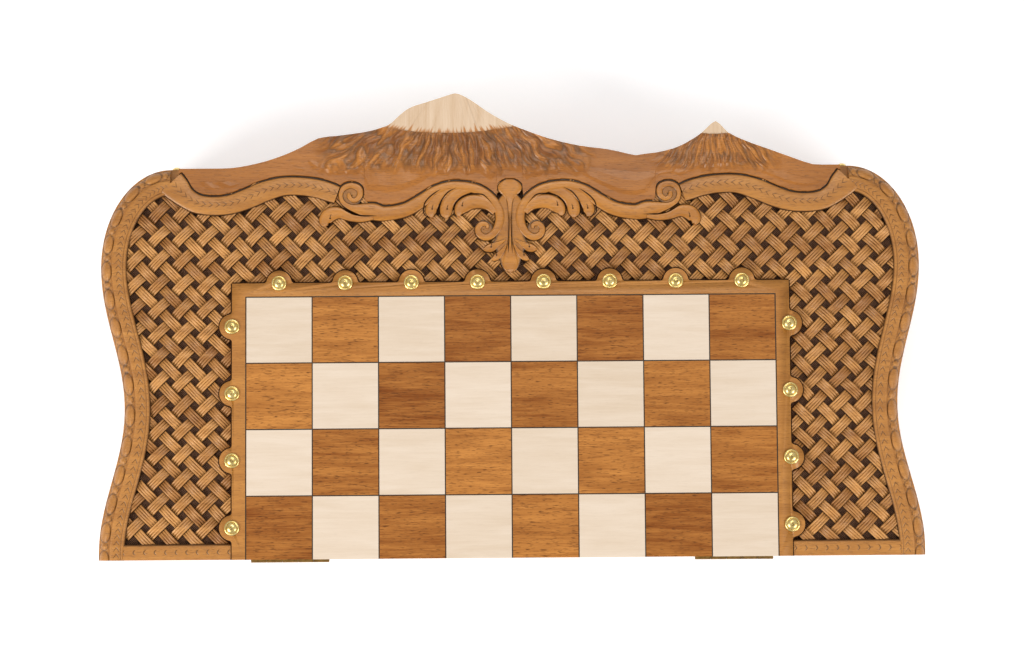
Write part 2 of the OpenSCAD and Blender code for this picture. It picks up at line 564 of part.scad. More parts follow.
// What lies outside the field near one strand: the moulding, the scrollwork, the strip, the frame, its lobes
near_r = 26;
module beyond_side(p, side) polygon(concat(
    [for (q = inner_curve) if (abs(q[1] - p[1]) < near_r) [side * q[0], q[1]]],
    [[side * (foot_half_w + 9), p[1] + near_r], [side * (foot_half_w + 9), p[1] - near_r]]));
module beyond_edge(p) polygon(concat(
    [for (q = full_edge) if (abs(q[0] - p[0]) < near_r) q],
    [[p[0] + near_r, front_y + 9], [p[0] - near_r, front_y + 9]]));
lobe_plan = concat([[lobe_spread, -1], [-lobe_spread, -1]], lobe);
module cut_strand(p, lean) {
    side = p[0] < 0 ? -1 : 1;
    difference() {
        translate(p) rotate(lean == 0 ? 45 : -45) strand();
        if (abs(p[0]) > lookup(p[1], inner_side) - strand_l) slab(panel_h - 1, half_h) beyond_side(p, side);
        if (p[1] > lookup(p[0], full_edge) - 2 * strand_l) slab(panel_h - 1, half_h) beyond_edge(p);
        if (p[1] < strip_w + strand_l) translate([p[0] - near_r, -1, panel_h - 1])
            cube([2 * near_r, strip_w + 1, half_h]);
        if (abs(p[0]) < frame_half_w + strand_l && p[1] < frame_d + strand_l)
            translate([-frame_half_w, -1, panel_h - 1]) cube([2 * frame_half_w, frame_d + 1, half_h]);
        for (i = [-3.5 : 3.5]) if (norm(p - [i * square_side, frame_d]) < near_r)
            translate([i * square_side, frame_d]) slab(panel_h - 1, half_h) polygon(lobe_plan);
        for (y = side_stud_y) if (norm(p - [side * frame_half_w, y]) < near_r)
            translate([side * frame_half_w, y]) rotate(-90 * side)
                slab(panel_h - 1, half_h) polygon(lobe_plan);
    }
}
module weave() for (i = [-weave_columns : weave_columns], j = [-1 : weave_rows], lean = [0, 1]) {
    p = [weave_x + (i + lean / 2) * weave_pitch, weave_y + (j + lean / 2) * weave_pitch];
    if (inside(p, lean, 0.6) == 15) translate(p) rotate(lean == 0 ? 45 : -45) strand();
    else if (inside(p, lean, 0.1) > 3) cut_strand(p, lean);
}

// The scrollwork: stems with a raised crown, and a gouge cut in the eye of each lobe
crown_h = half_h - scroll_drop;
module raised_stem(s) {
    n = len(s) - 1;
    left = edge(s, 1, 0);
    right = edge(s, -1, 0);
    side_h = [for (p = s) crown_h - min(scroll_fall, p[2] * 0.8)];
    polyhedron(
        points = [for (i = [0 : n]) each [[each left[i], panel_h], [each left[i], side_h[i]],
            [s[i][0], s[i][1], crown_h], [each right[i], side_h[i]], [each right[i], panel_h]]],
        faces = concat(
            [for (i = [0 : n - 1], k = [0 : 4]) let (a = i * 5 + k, b = i * 5 + (k + 1) % 5)
                each [[a, a + 5, b], [b, a + 5, b + 5]]],
            [[0, 1, 2, 3, 4], [for (k = [4 : -1 : 0]) n * 5 + k]]));
}
module scrolls() {
    both_sides() {
        difference() {
            raised_stem(stems[0]);
            translate([-border_end_x - big, 0, 0]) cube(big);
            translate([-big, front_y, 0]) cube(big);
        }
        for (i = [1 : len(stems) - 1]) raised_stem(stems[i]);
    }
    raised_stem(middle_stem);
}

// The carved ridge and its snow caps, each one closed surface over a strip of columns
module relief(xs, lows, highs, bottom, rows) {
    n = len(xs);
    m = rows + 3;
    function row_y(i, k) = k == rows ? highs[i] : lerp(lows[i], highs[i], 1 - (1 - k / rows) ^ 1.5);
    polyhedron(
        points = [for (i = [0 : n - 1]) each concat(
            [[xs[i], lows[i], bottom]],
            [for (k = [0 : rows]) [xs[i], row_y(i, k), ridge_surface(xs[i], row_y(i, k))]],
            [[xs[i], highs[i], bottom]])],
        faces = concat(
            [for (i = [0 : n - 2], k = [0 : m - 1]) let (a = i * m + k, b = i * m + (k + 1) % m)
                each [[a, b, a + m], [b, b + m, a + m]]],
            [[for (k = [m - 1 : -1 : 0]) k], [for (k = [0 : m - 1]) (n - 1) * m + k]]));
}
ridge_rows = 6;
cap_rows = 4;
module ridge() relief(columns, ridge_foot, [for (x = columns) walnut_y(x)], tray_h, ridge_rows);
module snow_caps() for (cap = caps) {
    xs = [for (x = columns) if (x > cap[0] && x < cap[1]) x];
    relief(xs, [for (x = xs) snow_y(cap, x)], [for (x = xs) ridge_y(x)], seam_h, cap_rows);
}

// The inner field and its inlaid points
module point_plan(k) {
    y = inner_back_y + (k + 0.5) * point_pitch;
    half_w = (point_pitch - point_gap) / 2;
    polygon([[-inner_half_w, y - half_w], [point_l - inner_half_w, y], [-inner_half_w, y + half_w]]);
}
module field_points(odd) slab(tray_h - inner_t, tray_h) {
    for (k = [0 : 5]) if (k % 2 == odd) point_plan(k);
    mirror([1, 0, 0]) for (k = [0 : 5]) if (k % 2 != odd) point_plan(k);
}
module inner_field() slab(tray_h - inner_t, tray_h) difference() {
    translate([-inner_half_w, inner_back_y]) square([2 * inner_half_w, inner_front_y - inner_back_y]);
    both_sides() for (k = [0 : 5]) point_plan(k);
}

// The hinges. A leaf lies in its rail with three of the five knuckles, or the two between them
knuckle_l = hinge_l / 5;
module leaf(first) {
    difference() {
        union() {
            translate([-hinge_l / 2, knuckle_r + side_gap, seam_h])
                cube([hinge_l, leaf_w - knuckle_r - side_gap, leaf_t]);
            for (k = [first : 2 : 4]) translate([k * knuckle_l - hinge_l / 2 + side_gap / 2, 0, 0]) {
                translate([0, pin_d / 2 + 0.4, seam_h])
                    cube([knuckle_l - side_gap, knuckle_r + side_gap, leaf_t]);
                translate([0, hinge_axis_y, 0]) rotate([0, 90, 0])
                    cylinder(r = knuckle_r, h = knuckle_l - side_gap);
            }
        }
        translate([-hinge_l, hinge_axis_y, 0]) rotate([0, 90, 0])
            cylinder(r = pin_d / 2 + running_gap, h = 2 * hinge_l);
        for (i = [-1 : 1]) translate([i * screw_step, screw_y, seam_h]) {
            translate([0, 0, -1]) cylinder(r1 = screw_head_d / 2 + running_gap + 1,
                r2 = screw_d / 2 + running_gap, h = head_h + 1);
            cylinder(r = screw_d / 2 + running_gap, h = leaf_t + 1);
        }
    }
}
head_h = (screw_head_d - screw_d) / 2;
module hinge_pin() translate([-hinge_l / 2, hinge_axis_y, 0]) rotate([0, 90, 0])
    cylinder(d = pin_d, h = hinge_l);
module leaf_screws() for (x = [-hinge_x, hinge_x], i = [-1 : 1])
    translate([x + i * screw_step, screw_y, seam_h]) difference() {
        union() {
            cylinder(d1 = screw_head_d, d2 = screw_d, h = head_h);
            cylinder(d = screw_d, h = screw_l);
        }
        translate([-screw_head_d, -0.35, -1]) cube([2 * screw_head_d, 0.7, 1.5]);
    }

// The hooks, seen from the front with the arm hanging from the pivot
hook_reach = hook_pivot_h + hook_catch_h;
hook_bore_r = hook_neck_d / 2 + running_gap;
mouth_r = hook_neck_d / 2 + mouth_gap;
mouth_turn = asin(mouth_spare / hook_reach);
hook_end_r = mouth_r + 2.2;
module hook_plan() difference() {
    union() {
        circle(hook_eye_r);
        translate([-hook_arm_w / 2, -hook_reach]) square([hook_arm_w, hook_reach]);
        rotate(mouth_turn) translate([0, -hook_reach]) circle(hook_end_r);
        translate([hook_arm_w / 2, -hook_reach - 6.5]) circle(2);
        translate([hook_arm_w / 2 - 2, -hook_reach - 6.5]) square([4, 4]);
    }
    circle(hook_bore_r);
    rotate(mouth_turn) translate([0, -hook_reach]) circle(mouth_r);
    difference() {
        circle(hook_reach + mouth_r);
        circle(hook_reach - mouth_r);
        rotate(mouth_turn) translate([0, -big]) square([big, 2 * big]);
    }
}
module hook() translate([hook_x, front_y + side_gap, hook_pivot_h]) rotate([0, hook_rest_angle, 0])
    rotate([90, 0, 0]) translate([0, 0, -hook_t]) linear_extrude(hook_t) mirror([1, 0]) hook_plan();
head_dome_r = ((hook_head_d / 2) ^ 2 + hook_head_h ^ 2) / (2 * hook_head_h);
module domed_screws(h) for (x = [-hook_x, hook_x]) translate([x, front_y, h]) rotate([-90, 0, 0]) {
    translate([0, 0, -neck_seat]) cylinder(d = hook_neck_d, h = neck_seat + hook_t + 2 * side_gap);
    translate([0, 0, hook_t + 2 * side_gap]) rotate_extrude() intersection() {
        translate([0, hook_head_h - head_dome_r]) circle(head_dome_r);
        square([hook_head_d / 2, hook_head_h]);
    }
}

walnut = "#b37a45";
walnut_dark = "#8f5a2e";
maple = "#e9d3b0";
ebony = "#33241a";
brass = "#c9a64a";

// The lower half of the box
module base_front_rail() color(walnut) on_base() front_rail(hook_catch_h);
module base_back_rail() color(walnut) on_base() back_rail();
module base_left_rail() color(walnut) on_base() mirror([1, 0, 0]) end_rail();
module base_right_rail() color(walnut) on_base() end_rail();
module base_panel() color(walnut_dark) on_base() panel();
module base_border() color(walnut) on_base() border();
module base_weave() color(walnut_dark) on_base() weave();
module base_scrolls() color(walnut) on_base() scrolls();
module base_ridge() color(walnut) on_base() ridge();
module base_snow_caps() color(maple) on_base() snow_caps();
module base_board_frame() color(walnut) on_base() board_frame();
module base_dark_squares() color(walnut_dark) on_base() squares(1);
module base_light_squares() color(maple) on_base() squares(0);
module base_stringing() color(ebony) on_base() stringing();
module base_studs() color(brass) on_base() studs();
module base_inner_field() color(walnut) on_base() inner_field();
module base_dark_points() color(ebony) on_base() field_points(0);
module base_light_points() color(maple) on_base() field_points(1);

// The upper half of the box
module lid_front_rail() color(walnut) on_lid() front_rail(hook_pivot_h);
module lid_back_rail() color(walnut) on_lid() back_rail();
module lid_left_rail() color(walnut) on_lid() mirror([1, 0, 0]) end_rail();
module lid_right_rail() color(walnut) on_lid() end_rail();
module lid_panel() color(walnut_dark) on_lid() panel();
module lid_border() color(walnut) on_lid() border();
module lid_weave() color(walnut_dark) on_lid() weave();
module lid_scrolls() color(walnut) on_lid() scrolls();
module lid_ridge() color(walnut) on_lid() ridge();
module lid_snow_caps() color(maple) on_lid() snow_caps();
module lid_board_frame() color(walnut) on_lid() board_frame();
module lid_dark_squares() color(walnut_dark) on_lid() squares(0);
module lid_light_squares() color(maple) on_lid() squares(1);
module lid_stringing() color(ebony) on_lid() stringing();
module lid_studs() color(brass) on_lid() studs();
module lid_inner_field() color(walnut) on_lid() inner_field();
module lid_dark_points() color(ebony) on_lid() field_points(0);
module lid_light_points() color(maple) on_lid() field_points(1);

// The hinges, the hooks and their screws
module hinge_left_base_leaf() color(brass) on_base() translate([-hinge_x, 0, 0]) leaf(0);
module hinge_left_lid_leaf() color(brass) on_lid() translate([-hinge_x, 0, 0]) leaf(1);
module hinge_left_pin() color(brass) on_lid() translate([-hinge_x, 0, 0]) hinge_pin();
module hinge_right_base_leaf() color(brass) on_base() translate([hinge_x, 0, 0]) leaf(0);
module hinge_right_lid_leaf() color(brass) on_lid() translate([hinge_x, 0, 0]) leaf(1);
module hinge_right_pin() color(brass) on_lid() translate([hinge_x, 0, 0]) hinge_pin();
module hinge_base_screws() color(brass) on_base() leaf_screws();
module hinge_lid_screws() color(brass) on_lid() leaf_screws();
module hook_left() color(brass) on_lid() mirror([1, 0, 0]) hook();
module hook_right() color(brass) on_lid() hook();
module hook_pivots() color(brass) on_lid() domed_screws(hook_pivot_h);
module hook_catches() color(brass) on_base() domed_screws(hook_catch_h);

base_front_rail();
base_back_rail();
base_left_rail();
base_right_rail();
base_panel();
base_border();
base_weave();
base_scrolls();
base_ridge();
base_snow_caps();
base_board_frame();
base_dark_squares();
base_light_squares();
base_stringing();
base_studs();
base_inner_field();
base_dark_points();
base_light_points();
lid_front_rail();
lid_back_rail();
lid_left_rail();
lid_right_rail();
lid_panel();
lid_border();
lid_weave();
lid_scrolls();
lid_ridge();
lid_snow_caps();
lid_board_frame();
lid_dark_squares();
lid_light_squares();
lid_stringing();
lid_studs();
lid_inner_field();
lid_dark_points();
lid_light_points();
hinge_left_base_leaf();
hinge_left_lid_leaf();
hinge_left_pin();
hinge_right_base_leaf();
hinge_right_lid_leaf();
hinge_right_pin();
hinge_base_screws();
hinge_lid_screws();
hook_left();
hook_right();
hook_pivots();
hook_catches();
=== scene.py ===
# %% [markdown]
# # A carved walnut chess box
#
# The box is two shallow walnut trays, hinged along their straight edge. Each carries half a chessboard in
# a field of carved basket weave, with scrollwork and a mountain ridge along the other edge. The solids
# come from the imported frame. This lesson adds the finish: carving that is too fine for a solid model,
# the woods, the dark lines of painted shade in the cuts and the polished brass.

# %% Load the frame
import json
import math
import random

import bmesh
import bpy
import numpy as np
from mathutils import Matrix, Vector, noise
from mathutils.bvhtree import BVHTree

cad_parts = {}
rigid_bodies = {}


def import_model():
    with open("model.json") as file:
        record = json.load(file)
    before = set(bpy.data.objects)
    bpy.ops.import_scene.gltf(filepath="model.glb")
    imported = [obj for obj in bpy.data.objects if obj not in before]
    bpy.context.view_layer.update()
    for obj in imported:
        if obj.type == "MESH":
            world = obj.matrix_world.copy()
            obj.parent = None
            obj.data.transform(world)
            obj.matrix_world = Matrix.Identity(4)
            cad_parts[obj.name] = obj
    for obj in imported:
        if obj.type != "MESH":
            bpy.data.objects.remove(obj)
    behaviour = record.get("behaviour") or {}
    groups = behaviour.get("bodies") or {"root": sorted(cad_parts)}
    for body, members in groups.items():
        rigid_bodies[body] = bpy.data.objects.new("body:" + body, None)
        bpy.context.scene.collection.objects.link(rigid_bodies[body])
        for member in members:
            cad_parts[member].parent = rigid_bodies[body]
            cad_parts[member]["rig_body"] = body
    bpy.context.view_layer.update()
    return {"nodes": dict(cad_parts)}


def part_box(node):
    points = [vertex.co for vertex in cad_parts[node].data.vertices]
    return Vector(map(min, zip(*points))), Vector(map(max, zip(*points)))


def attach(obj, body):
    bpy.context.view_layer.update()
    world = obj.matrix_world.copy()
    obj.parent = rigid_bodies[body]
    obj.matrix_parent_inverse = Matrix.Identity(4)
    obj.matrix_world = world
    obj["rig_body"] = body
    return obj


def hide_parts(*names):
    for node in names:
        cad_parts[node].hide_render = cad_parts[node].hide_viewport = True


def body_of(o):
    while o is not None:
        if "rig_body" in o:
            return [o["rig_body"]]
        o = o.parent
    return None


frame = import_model()
nodes = frame["nodes"]

# %% [markdown]
# ## One set of measures for both halves
#
# The halves are mirror images, so every piece is made once, in millimetres: across from the middle, out
# from the hinge edge, and up from the seam. One function then sets it into the frame for either half. The
# few driving measures are read off the solids, so the carving follows if the box changes.

# %% Measures from the solids
MM = 0.001
UP = {"lid": 1, "base": -1}


def low(name):
    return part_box(name)[0] / MM


def high(name):
    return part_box(name)[1] / MM


hinge_y = low("lid_panel").y
seam_z = (high("base_back_rail").z + low("lid_back_rail").z) / 2
half_h = high("lid_board_frame").z - seam_z
panel_h = low("lid_board_frame").z - seam_z
frame_half_w = (high("lid_stringing").x - low("lid_stringing").x) / 2 + 10
frame_d = high("lid_stringing").y - hinge_y + 10
front_y = high("lid_scrolls").y - hinge_y
foot_half_w = high("lid_border").x
print("half height", round(half_h, 2), "front edge", round(front_y, 2), "foot", round(foot_half_w, 2))

# %% Setting points into the frame


def to_frame(points, half):
    placed = np.array(points, float)
    placed[..., 1] += hinge_y
    placed[..., 2] = seam_z + UP[half] * placed[..., 2]
    return placed * MM


def quads_of(points, start):
    """Faces of a grid of points, turned so that they look up."""
    n, m = points.shape[:2]
    i, j = np.meshgrid(np.arange(n - 1), np.arange(m - 1), indexing="ij")
    a = i * m + j
    quads = np.stack([a, a + 1, a + m + 1, a + m], -1).reshape(-1, 4)
    flat = points.reshape(-1, 3)
    one = flat[quads[:, 2]] - flat[quads[:, 0]]
    other = flat[quads[:, 3]] - flat[quads[:, 1]]
    if np.cross(one, other)[:, 2].sum() < 0:
        quads = quads[:, ::-1]
    return quads + start


def carve(name, half, grids, material, crease=math.radians(50)):
    """One piece from grids of points. Each grid comes with its layers of values for the materials."""
    points, faces, start = [], [], 0
    layers = {key: [] for key in grids[0][1]}
    for grid, values in grids:
        points.append(grid.reshape(-1, 3))
        faces.append(quads_of(grid, start))
        for key in layers:
            layers[key].append(np.broadcast_to(values[key], grid.shape[:2]).reshape(-1))
        start += grid.shape[0] * grid.shape[1]
    faces = np.concatenate(faces)
    if half == "base":
        faces = faces[:, ::-1]
    mesh = bpy.data.meshes.new(name)
    mesh.from_pydata(to_frame(np.concatenate(points), half).tolist(), [], faces.tolist())
    for key, values in layers.items():
        layer = mesh.attributes.new(key, "FLOAT", "POINT")
        layer.data.foreach_set("value", np.concatenate(values).astype(np.float32))
    mesh.shade_smooth()
    mesh.set_sharp_from_angle(angle=crease)
    piece = bpy.data.objects.new(name, mesh)
    bpy.context.scene.collection.objects.link(piece)
    mesh.materials.append(material)
    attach(piece, half)
    print(name, len(faces), "faces")
    return piece


def capped(grid, values, foot):
    """The grid with a wall down to the foot at both of its ends, and its layers to match."""
    ends = grid[[0, -1]].copy()
    ends[..., 2] = foot
    full = {key: np.broadcast_to(value, grid.shape[:2]) for key, value in values.items()}
    return (np.concatenate([ends[:1], grid, ends[1:]]),
            {key: np.pad(value, ((1, 1), (0, 0)), mode="edge") for key, value in full.items()})


# Layers for pieces without tool marks
UNMARKED = {"along": np.zeros(1), "across": np.zeros(1)}


def mirrored(grids):
    """The same grids on the other side of the middle line."""
    return [(grid * np.array([-1.0, 1.0, 1.0]), values) for grid, values in grids]


# %% [markdown]
# ## Wood, built from one shared grain
#
# All carved parts come from planks whose grain runs along the hinge. A node group makes that grain from
# stretched noise: wide bands of tone, fine streaks and short dark pores. Each wood places the group
# and picks its own colours, so the whole box looks cut from the same few boards.

# %% Helpers for node trees


def add(tree, kind, inputs=None, **settings):
    made = tree.nodes.new("ShaderNode" + kind)
    for key, value in settings.items():
        setattr(made, key, value)
    for key, value in (inputs or {}).items():
        if isinstance(value, bpy.types.NodeSocket):
            tree.links.new(value, made.inputs[key])
        else:
            made.inputs[key].default_value = value
    return made


def calc(tree, operation, a, b=0.0, clamp=False):
    return add(tree, "Math", {0: a, 1: b}, operation=operation, use_clamp=clamp).outputs[0]


def blend(tree, share, a, b, mode="MIX"):
    made = add(tree, "Mix", {0: share, 6: a, 7: b}, data_type="RGBA", blend_type=mode)
    return made.outputs[2]


def remap(tree, value, low_in, high_in, low_out=0.0, high_out=1.0):
    return add(tree, "MapRange", {0: value, 1: low_in, 2: high_in, 3: low_out, 4: high_out}).outputs[0]


def layer(tree, name):
    return add(tree, "Attribute", attribute_name=name).outputs["Fac"]


def new_group(name, inputs, outputs):
    tree = bpy.data.node_groups.new(name, "ShaderNodeTree")
    for label, (kind, value) in inputs.items():
        socket = tree.interface.new_socket(label, in_out="INPUT", socket_type="NodeSocket" + kind)
        if value is not None:
            socket.default_value = value
    for label, kind in outputs.items():
        tree.interface.new_socket(label, in_out="OUTPUT", socket_type="NodeSocket" + kind)
    return tree, tree.nodes.new("NodeGroupInput").outputs, tree.nodes.new("NodeGroupOutput").inputs


def use_group(tree, group, inputs):
    made = tree.nodes.new("ShaderNodeGroup")
    made.node_tree = group
    for key, value in inputs.items():
        if isinstance(value, bpy.types.NodeSocket):
            tree.links.new(value, made.inputs[key])
        else:
            made.inputs[key].default_value = value
    return made.outputs


def clamp(value):
    return min(1.0, max(0.0, value))


def srgb(red, green, blue):
    """A colour as a screen shows it, 0 to 255, turned into the linear values that shaders take."""
    def linear(c):
        c /= 255
        return c / 12.92 if c <= 0.04045 else ((c + 0.055) / 1.055) ** 2.4
    return linear(red), linear(green), linear(blue), 1.0


# %% The grain group
grain_tree, given, result = new_group(
    "wood grain",
    {"Position": ("Vector", None), "Band Width": ("Float", 9.0), "Streak Width": ("Float", 0.7)},
    {"Bands": "Float", "Streaks": "Float", "Pores": "Float"})


def stretched(tree, position, width, along):
    """Coordinates in which a feature is `width` mm across the grain and `along` times that with it."""
    scale = add(tree, "CombineXYZ", {0: calc(tree, "DIVIDE", 1000 / along, width),
                                     1: calc(tree, "DIVIDE", 1000, width),
                                     2: calc(tree, "DIVIDE", 1000, width)}).outputs[0]
    return add(tree, "VectorMath", {0: position, 1: scale}, operation="MULTIPLY").outputs[0]


place = given["Position"]
wide = add(grain_tree, "TexNoise", {"Vector": stretched(grain_tree, place, given["Band Width"], 9),
                                    "Scale": 1.0, "Detail": 3.0, "Roughness": 0.55, "Distortion": 0.4})
fine = add(grain_tree, "TexNoise", {"Vector": stretched(grain_tree, place, given["Streak Width"], 30),
                                    "Scale": 1.0, "Detail": 3.0, "Roughness": 0.6})
pore = add(grain_tree, "TexNoise", {"Vector": stretched(grain_tree, place, 0.55, 9),
                                    "Scale": 1.0, "Detail": 1.0, "Roughness": 0.5})
grain_tree.links.new(remap(grain_tree, wide.outputs["Fac"], 0.3, 0.7), result["Bands"])
grain_tree.links.new(remap(grain_tree, fine.outputs["Fac"], 0.3, 0.7), result["Streaks"])
grain_tree.links.new(remap(grain_tree, pore.outputs["Fac"], 0.58, 0.7), result["Pores"])
print("grain group:", len(grain_tree.nodes), "nodes")

# %% [markdown]
# ## Marks of the carver's tools
#
# The mouldings carry rows of small crescents, struck with a gouge. A mark is a short arc, cut below the
# surface with a bump and painted dark as the shade in the cut. The pieces store how far each point lies
# along and across the moulding, and this group repeats the arc from those two numbers.

# %% The tool mark group
mark_tree, given, result = new_group(
    "tool mark",
    {"Along": ("Float", 0.0), "Across": ("Float", 0.0), "Centre": ("Float", 0.0), "Period": ("Float", 8.0),
     "Slope": ("Float", 0.0), "Curve": ("Float", 0.0), "Reach": ("Float", 2.5), "Width": ("Float", 0.6)},
    {"Mark": "Float"})
sideways = calc(mark_tree, "ABSOLUTE", calc(mark_tree, "SUBTRACT", given["Across"], given["Centre"]))
bent = calc(mark_tree, "ADD", calc(mark_tree, "MULTIPLY", sideways, given["Slope"]),
            calc(mark_tree, "MULTIPLY", calc(mark_tree, "MULTIPLY", sideways, sideways), given["Curve"]))
half_period = calc(mark_tree, "MULTIPLY", given["Period"], 0.5)
other_end = calc(mark_tree, "MULTIPLY", half_period, -1.0)
place = add(mark_tree, "Math", {0: calc(mark_tree, "ADD", given["Along"], bent), 1: half_period,
                                2: other_end}, operation="WRAP").outputs[0]
away = calc(mark_tree, "ABSOLUTE", place)
line = calc(mark_tree, "SUBTRACT", 1.0, calc(mark_tree, "DIVIDE", away, given["Width"]), clamp=True)
inside = calc(mark_tree, "MULTIPLY", calc(mark_tree, "SUBTRACT", given["Reach"], sideways), 1.5, clamp=True)
mark_tree.links.new(calc(mark_tree, "MULTIPLY", line, inside), result["Mark"])
print("tool mark group:", len(mark_tree.nodes), "nodes")

# %% [markdown]
# ## The woods
#
# Oiled walnut is warm brown with darker bands, and shines softly where it was sanded. Grooves, pits and
# cut edges are painted nearly black as painted shade, where a layer of the piece says; on the snow that
# layer marks the walnut between its fingers instead. Maple is pale with a faint straight grain.

# %% A wood material


def new_material(name):
    material = bpy.data.materials.new(name)
    material.use_nodes = True
    tree = material.node_tree
    return material, tree, tree.nodes["Principled BSDF"]


def wood(name, light, dark, pore_depth=0.5, roughness=0.42, coat=0.12, bands=9.0, streaks=0.7, bump=0.12,
         marks=(), burnt=srgb(40, 21, 10), layers=("burn",), per_square=0.0, contrast=0.65, turn=0,
         shine=0.5):
    """marks is a list of tool mark settings; per_square gives every square its own piece of wood."""
    material, tree, shader = new_material(name)
    position = add(tree, "TexCoord").outputs["Object"]
    square_tone = None
    if per_square:
        cell = add(tree, "VectorMath", {0: position, 1: (0.0, -hinge_y * MM + 0.0025, 0.0)}, operation="ADD")
        cell = add(tree, "VectorMath", {0: cell.outputs[0], 1: (20.0, 20.0, 0.0)}, operation="MULTIPLY")
        cell = add(tree, "VectorMath", {0: cell.outputs[0]}, operation="FLOOR").outputs[0]
        chance = add(tree, "TexWhiteNoise", {"Vector": cell}, noise_dimensions="3D")
        moved = add(tree, "VectorMath", {0: chance.outputs["Color"], 1: position}, operation="ADD")
        position = moved.outputs[0]
        square_tone = chance.outputs["Value"]
    if turn:
        turned = add(tree, "Mapping", {"Vector": position, "Rotation": (0, 0, math.radians(turn))})
        position = turned.outputs[0]
    grain = use_group(tree, grain_tree, {"Position": position, "Band Width": bands, "Streak Width": streaks})
    share = calc(tree, "ADD", calc(tree, "MULTIPLY", grain["Bands"], contrast),
                 calc(tree, "MULTIPLY", grain["Streaks"], 1 - contrast), clamp=True)
    if square_tone is not None:
        shift = remap(tree, square_tone, 0.0, 1.0, -per_square, per_square)
        share = calc(tree, "ADD", share, shift, clamp=True)
    # On the weave this layer is each strand's own tone of wood; on the ridge it is a painted highlight on the
    # stroke crests.
    if "tone" in layers:
        share = calc(tree, "ADD", share, remap(tree, layer(tree, "tone"), 0.0, 1.0, -0.45, 0.45), clamp=True)
    colour = blend(tree, share, dark, light)
    pores = calc(tree, "MULTIPLY", grain["Pores"], pore_depth)
    colour = blend(tree, pores, colour, tuple(0.45 * c for c in dark[:3]) + (1.0,))
    height = calc(tree, "SUBTRACT", calc(tree, "MULTIPLY", grain["Streaks"], 0.3), pores)
    burn = layer(tree, "burn") if "burn" in layers else None
    # Each tool mark is bumped down and painted dark, as the shade in the cut.
    for settings in marks:
        mark = use_group(tree, mark_tree, {"Along": layer(tree, "along"), "Across": layer(tree, "across"),
                                           **settings})["Mark"]
        burn = calc(tree, "MAXIMUM", burn, calc(tree, "MULTIPLY", mark, 0.8))
        height = calc(tree, "SUBTRACT", height, calc(tree, "MULTIPLY", mark, 5.0))
    # Painted shade: the layer and the tool marks blend the wood towards the dark colour; on the snow that
    # colour is walnut.
    if burn is not None:
        colour = blend(tree, burn, colour, burnt)
    tree.links.new(colour, shader.inputs["Base Color"])
    rough = remap(tree, grain["Streaks"], 0.0, 1.0, roughness + 0.06, roughness - 0.06)
    tree.links.new(rough, shader.inputs["Roughness"])
    shader.inputs["Specular IOR Level"].default_value = shine
    shader.inputs["Specular Tint"].default_value = (1.0, 0.86, 0.68, 1.0)
    shader.inputs["Coat Weight"].default_value = coat
    shader.inputs["Coat Roughness"].default_value = 0.25
    bumped = add(tree, "Bump", {"Height": height, "Strength": bump, "Distance": 0.0012})
    tree.links.new(bumped.outputs[0], shader.inputs["Normal"])
    return material


walnut_light = srgb(186, 126, 58)
walnut_mid = srgb(144, 89, 32)
chevrons = {"Period": 5.4, "Slope": 1.5, "Reach": 2.3, "Width": 0.75}
walnut = wood("walnut", walnut_light, walnut_mid, layers=(), bands=11.0)
walnut_border = wood("walnut border", walnut_light, walnut_mid, bump=0.35,
                     marks=[{"Centre": 14.3, **chevrons}])
walnut_strip = wood("walnut strip", walnut_light, walnut_mid, bump=0.35,
                    marks=[{"Centre": 6.0, "Period": 7.9, "Curve": 0.35, "Reach": 2.2, "Width": 0.75}])
walnut_ribbon = wood("walnut ribbon", walnut_light, walnut_mid, bump=0.3, roughness=0.34, coat=0.25,
                     marks=[{"Centre": 0.8, **chevrons}])
walnut_carved = wood("walnut carved", srgb(188, 123, 44), srgb(144, 86, 24), roughness=0.3, coat=0.3)
walnut_weave = wood("walnut weave", srgb(204, 146, 82), srgb(142, 90, 42), roughness=0.4, streaks=0.5,
                    layers=("burn", "tone"))
walnut_ridge = wood("walnut ridge", srgb(176, 110, 42), srgb(120, 66, 18), roughness=0.32, coat=0.2,
                    bands=16.0, layers=("burn", "tone"))
walnut_square = wood("walnut square", srgb(188, 124, 58), srgb(116, 58, 8), layers=(), per_square=0.3,
                     bands=7.0, pore_depth=0.8, shine=0.3, coat=0.0, contrast=0.55)
maple_square = wood("maple square", srgb(213, 196, 177), srgb(201, 181, 158), layers=(), per_square=0.25,
                    pore_depth=0.06, bump=0.04, bands=6.0, shine=0.4, coat=0.0)
maple_snow = wood("maple snow", srgb(210, 185, 158), srgb(190, 159, 126), pore_depth=0.05, bump=0.08,
                  burnt=srgb(168, 108, 52), turn=90, bands=5.0)
# A near-black wood for strips of painted shade: in the knife cuts and dots, and round the board's frame.
shade_strip = wood("burnt edge", srgb(50, 27, 13), srgb(30, 15, 7), layers=(), shine=0.1, coat=0.0)
ebony = wood("ebony", srgb(42, 27, 18), srgb(26, 16, 10), layers=(), pore_depth=0.2, bump=0.05)
print(len(bpy.data.materials), "materials")

# %% [markdown]
# ## The shape of the sides
#
# The sides swell at the foot and at the shoulder and are narrow at the waist. The moulding is one
# profile swept along that line, so the line is walked in even steps and the profile's points are set
# beside it.

# %% The side line
FOOT_SWELL, SHOULDER_SWELL, SHOULDER_RUN = 19, 18.5, 53
waist_half_w = foot_half_w - FOOT_SWELL
shoulder_half_w = waist_half_w + SHOULDER_SWELL
shoulder_x = shoulder_half_w - SHOULDER_RUN
waist_y, shoulder_y, foot_rise = 113, 222, 5
border_w, bevel_w, border_top = 20.5, 9.0, half_h - 1.5


def ease(t):
    return (1 - math.cos(math.pi * t)) / 2


def side_half_w(y):
    if y < foot_rise:
        return foot_half_w
    if y < waist_y:
        return foot_half_w + (waist_half_w - foot_half_w) * ease((y - foot_rise) / (waist_y - foot_rise))
    return waist_half_w + (shoulder_half_w - waist_half_w) * ease((y - waist_y) / (shoulder_y - waist_y))


